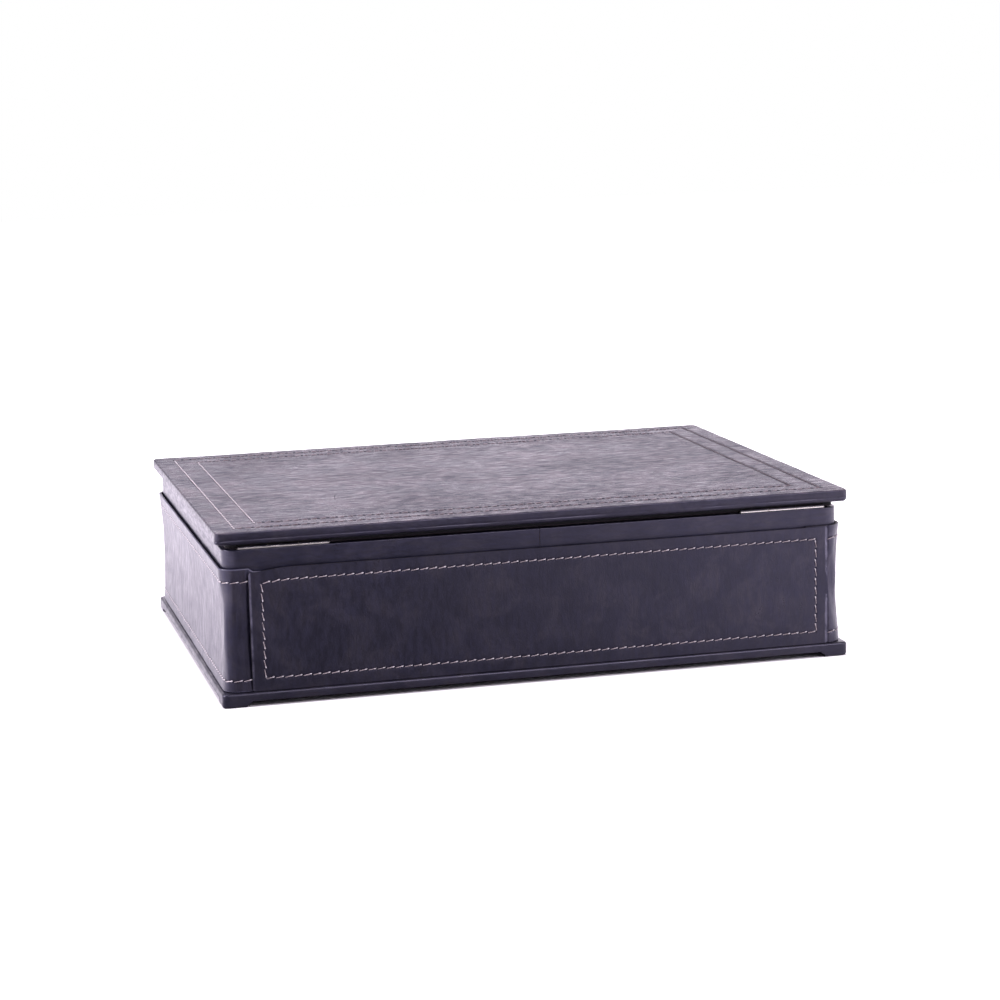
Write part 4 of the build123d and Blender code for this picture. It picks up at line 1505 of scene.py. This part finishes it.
def floor_material(stage):
    """Pale paper that is lit to white, with a painted shadow: less glow beside the box and none under it."""
    material, tree, place = new_material("studio_floor")
    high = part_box("base_leather")[1]
    parts = axes(tree, place)
    past = larger(
        tree, minus(tree, size_of(tree, parts["X"]), high.x), minus(tree, size_of(tree, parts["Y"]), high.y)
    )
    clear = remap(tree, past, -1.0 * MM, 1.0 * MM, 0.0, 1.0)
    shares = floor_shares(tree, parts, high, stage.near_floor_shine)
    straight, reflected = ray_shares(tree)

    paper = times(tree, noise_field(tree, place, 400 * MM, 2.0), 0.04)
    # In reflections the floor on the camera's side is painted darker, a painted shade.
    painted_floor_shade = times(tree, reflected, minus(tree, 1.0, shares))
    shade = blend_colours(tree, paper, rgba(stage.floor), rgba(stage.floor, 0.95))
    shade = blend_colours(tree, times(tree, painted_floor_shade, 0.75), shade, (0, 0, 0, 1))
    lit = node(tree, "ShaderNodeBsdfDiffuse", {"Color": shade})

    # The glow is weaker next to the box and cut off under it, a painted shadow round and under the box; a
    # strip within 12 mm of the box gets a little extra glow, a painted light that softens it.
    lift = remap(tree, past, 0.0, 450 * MM, stage.floor_lift, 1.0, True)
    lift = plus(tree, remap(tree, past, 0.0, 12 * MM, 0.10, 0.0), lift)
    falloff = remap(tree, parts["Y"], -0.45, -0.08, 1.08, 0.68)
    shine = times(tree, times(tree, reflected, shares), falloff)
    lift = times_plus(tree, shine, stage.floor_shine, times(tree, straight, lift))
    cast = blend_colours(tree, straight, rgba(stage.tint), (1, 1, 1, 1))
    glow = node(tree, "ShaderNodeEmission", {"Color": cast, "Strength": times(tree, lift, clear)})
    close_material(tree, node(tree, "ShaderNodeAddShader", {0: lit.outputs[0], 1: glow.outputs[0]}))
    return material


def studio_world(stage):
    """A white surround, softer as a light and dimmer towards the camera's side."""
    world = bpy.data.worlds.new("studio_world")
    world.use_nodes = True
    tree = world.node_tree
    tree.nodes.clear()
    parts = axes(tree, node(tree, "ShaderNodeTexCoord").outputs["Generated"])
    straight, reflected = ray_shares(tree)
    behind_camera = remap(tree, parts["Y"], 0.0, 0.7, 0.0, 1.0, True)
    light = times(tree, times_plus(tree, behind_camera, -0.5, 1.0), stage.world_light)
    low_glow = times(
        tree, remap(tree, parts["Z"], 0.10, 0.45, 1.1, 0.5), remap(tree, parts["X"], -0.42, -0.12, 1.2, 0.84)
    )
    dimmed = times(tree, behind_camera, remap(tree, parts["X"], -0.4, 0.1, 0.4, 0.75))
    shine = times(tree, low_glow, minus(tree, 1.0, dimmed))
    strength = times(tree, light, minus(tree, 1.0, reflected))
    strength = larger(tree, times_plus(tree, reflected, shine, strength), straight)
    cast = blend_colours(tree, straight, rgba(stage.tint), (1, 1, 1, 1))
    sky = node(tree, "ShaderNodeBackground", {"Color": cast, "Strength": strength})
    node(tree, "ShaderNodeOutputWorld", {"Surface": sky.outputs[0]})
    return world


def place_camera(scene, stage, middle):
    """Sets up the camera that looks at the box's back."""
    azimuth, elevation, roll = stage.camera_azimuth, stage.camera_elevation, stage.camera_roll
    back = Vector((
        math.sin(azimuth) * math.cos(elevation), -math.cos(azimuth) * math.cos(elevation), math.sin(elevation)
    ))
    level = Vector((math.cos(azimuth), math.sin(azimuth), 0.0))
    upright = back.cross(level)
    right = level * math.cos(roll) + upright * math.sin(roll)
    up = upright * math.cos(roll) - level * math.sin(roll)
    data = bpy.data.cameras.new("camera")
    data.sensor_width = 36.0
    data.lens = stage.camera_lens
    data.shift_y = stage.camera_shift
    camera = bpy.data.objects.new("camera", data)
    eye = middle + right * stage.camera_pan - up * stage.camera_drop + back * stage.camera_distance
    camera.matrix_world = Matrix.Translation(eye) @ Matrix((right, up, back)).transposed().to_4x4()
    scene.collection.objects.link(camera)
    scene.camera = camera


class STATIONERYBOX_OT_stage(bpy.types.Operator):
    """Sets up the pale floor, the soft light and the camera"""

    bl_idname = "stationery_box.stage"
    bl_label = "Stage"

    def execute(self, context):
        scene, stage = context.scene, context.scene.box_stage
        bm = bmesh.new()
        bmesh.ops.create_grid(bm, x_segments=1, y_segments=1, size=4.0)
        mesh = bpy.data.meshes.new("studio_floor")
        bm.to_mesh(mesh)
        bm.free()
        mesh.materials.append(floor_material(stage))
        floor = bpy.data.objects.new("studio_floor", mesh)
        scene.collection.objects.link(floor)
        scene.world = studio_world(stage)
        middle = Vector((0.0, 0.0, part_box("lid_leather")[1].z / 2))
        low_aim = (0.0, 0.0, 0.1)
        # Place, aim, length and width, and power of each lamp
        for name, place, aim, size, power in (
            ("key_softbox", (0.25, -0.35, 1.3), middle, (1.4, 1.2), stage.key_power),
            ("rear_softbox", (-0.65, -1.33, 0.42), low_aim, (2.3, 0.5), stage.rear_power),
            ("fill_softbox", (-1.2, 0.9, 0.55), middle, (0.9, 0.8), stage.fill_power),
            ("front_softbox", (-0.5, 1.25, 1.25), middle, (0.9, 0.6), stage.front_power),
            ("side_softbox", (1.4, 0.1, 0.8), middle, (0.8, 0.6), stage.side_power),
        ):
            soft_lamp(name, place, aim, size, power, stage.tint)
        place_camera(scene, stage, middle)
        scene.view_settings.view_transform = "Standard"
        return {"FINISHED"}


# ------------------------------------------------------------------ add-on


SETTINGS = {
    "box_shapes": BoxShapes,
    "box_stitching": BoxStitching,
    "box_finishes": BoxFinishes,
    "box_stage": BoxStage,
}

OPERATORS = (
    STATIONERYBOX_OT_lid_cover,
    STATIONERYBOX_OT_lid_stitching,
    STATIONERYBOX_OT_wall_cover,
    STATIONERYBOX_OT_bands,
    STATIONERYBOX_OT_band_stitching,
    STATIONERYBOX_OT_panels,
    STATIONERYBOX_OT_panel_stitching,
    STATIONERYBOX_OT_base_cover,
    STATIONERYBOX_OT_linings,
    STATIONERYBOX_OT_kept_nodes,
    STATIONERYBOX_OT_stage,
)


class STATIONERYBOX_PT_panel(bpy.types.Panel):
    """Lists the settings and the pieces in the sidebar"""

    bl_idname = "STATIONERYBOX_PT_panel"
    bl_label = "Stationery Box"
    bl_space_type = "VIEW_3D"
    bl_region_type = "UI"
    bl_category = "Stationery Box"

    def draw(self, context):
        for name, group in SETTINGS.items():
            part = self.layout.box()
            part.label(text=name.replace("_", " ").capitalize())
            for setting in group.__annotations__:
                part.prop(getattr(context.scene, name), setting)
        for operator in OPERATORS:
            self.layout.operator(operator.bl_idname)


def register():
    for group in SETTINGS.values():
        bpy.utils.register_class(group)
    for operator in OPERATORS:
        bpy.utils.register_class(operator)
    bpy.utils.register_class(STATIONERYBOX_PT_panel)
    for name, group in SETTINGS.items():
        setattr(bpy.types.Scene, name, PointerProperty(type=group))


def unregister():
    for name in SETTINGS:
        delattr(bpy.types.Scene, name)
    bpy.utils.unregister_class(STATIONERYBOX_PT_panel)
    for operator in reversed(OPERATORS):
        bpy.utils.unregister_class(operator)
    for group in reversed(SETTINGS.values()):
        bpy.utils.unregister_class(group)


def main():
    register()
    bpy.ops.stationery_box.stage()
    bpy.ops.stationery_box.lid_cover()
    bpy.ops.stationery_box.lid_stitching()
    bpy.ops.stationery_box.wall_cover()
    bpy.ops.stationery_box.bands()
    bpy.ops.stationery_box.band_stitching()
    bpy.ops.stationery_box.panels()
    bpy.ops.stationery_box.panel_stitching()
    bpy.ops.stationery_box.base_cover()
    bpy.ops.stationery_box.linings()
    bpy.ops.stationery_box.kept_nodes()


if __name__ == "__main__":
    main()
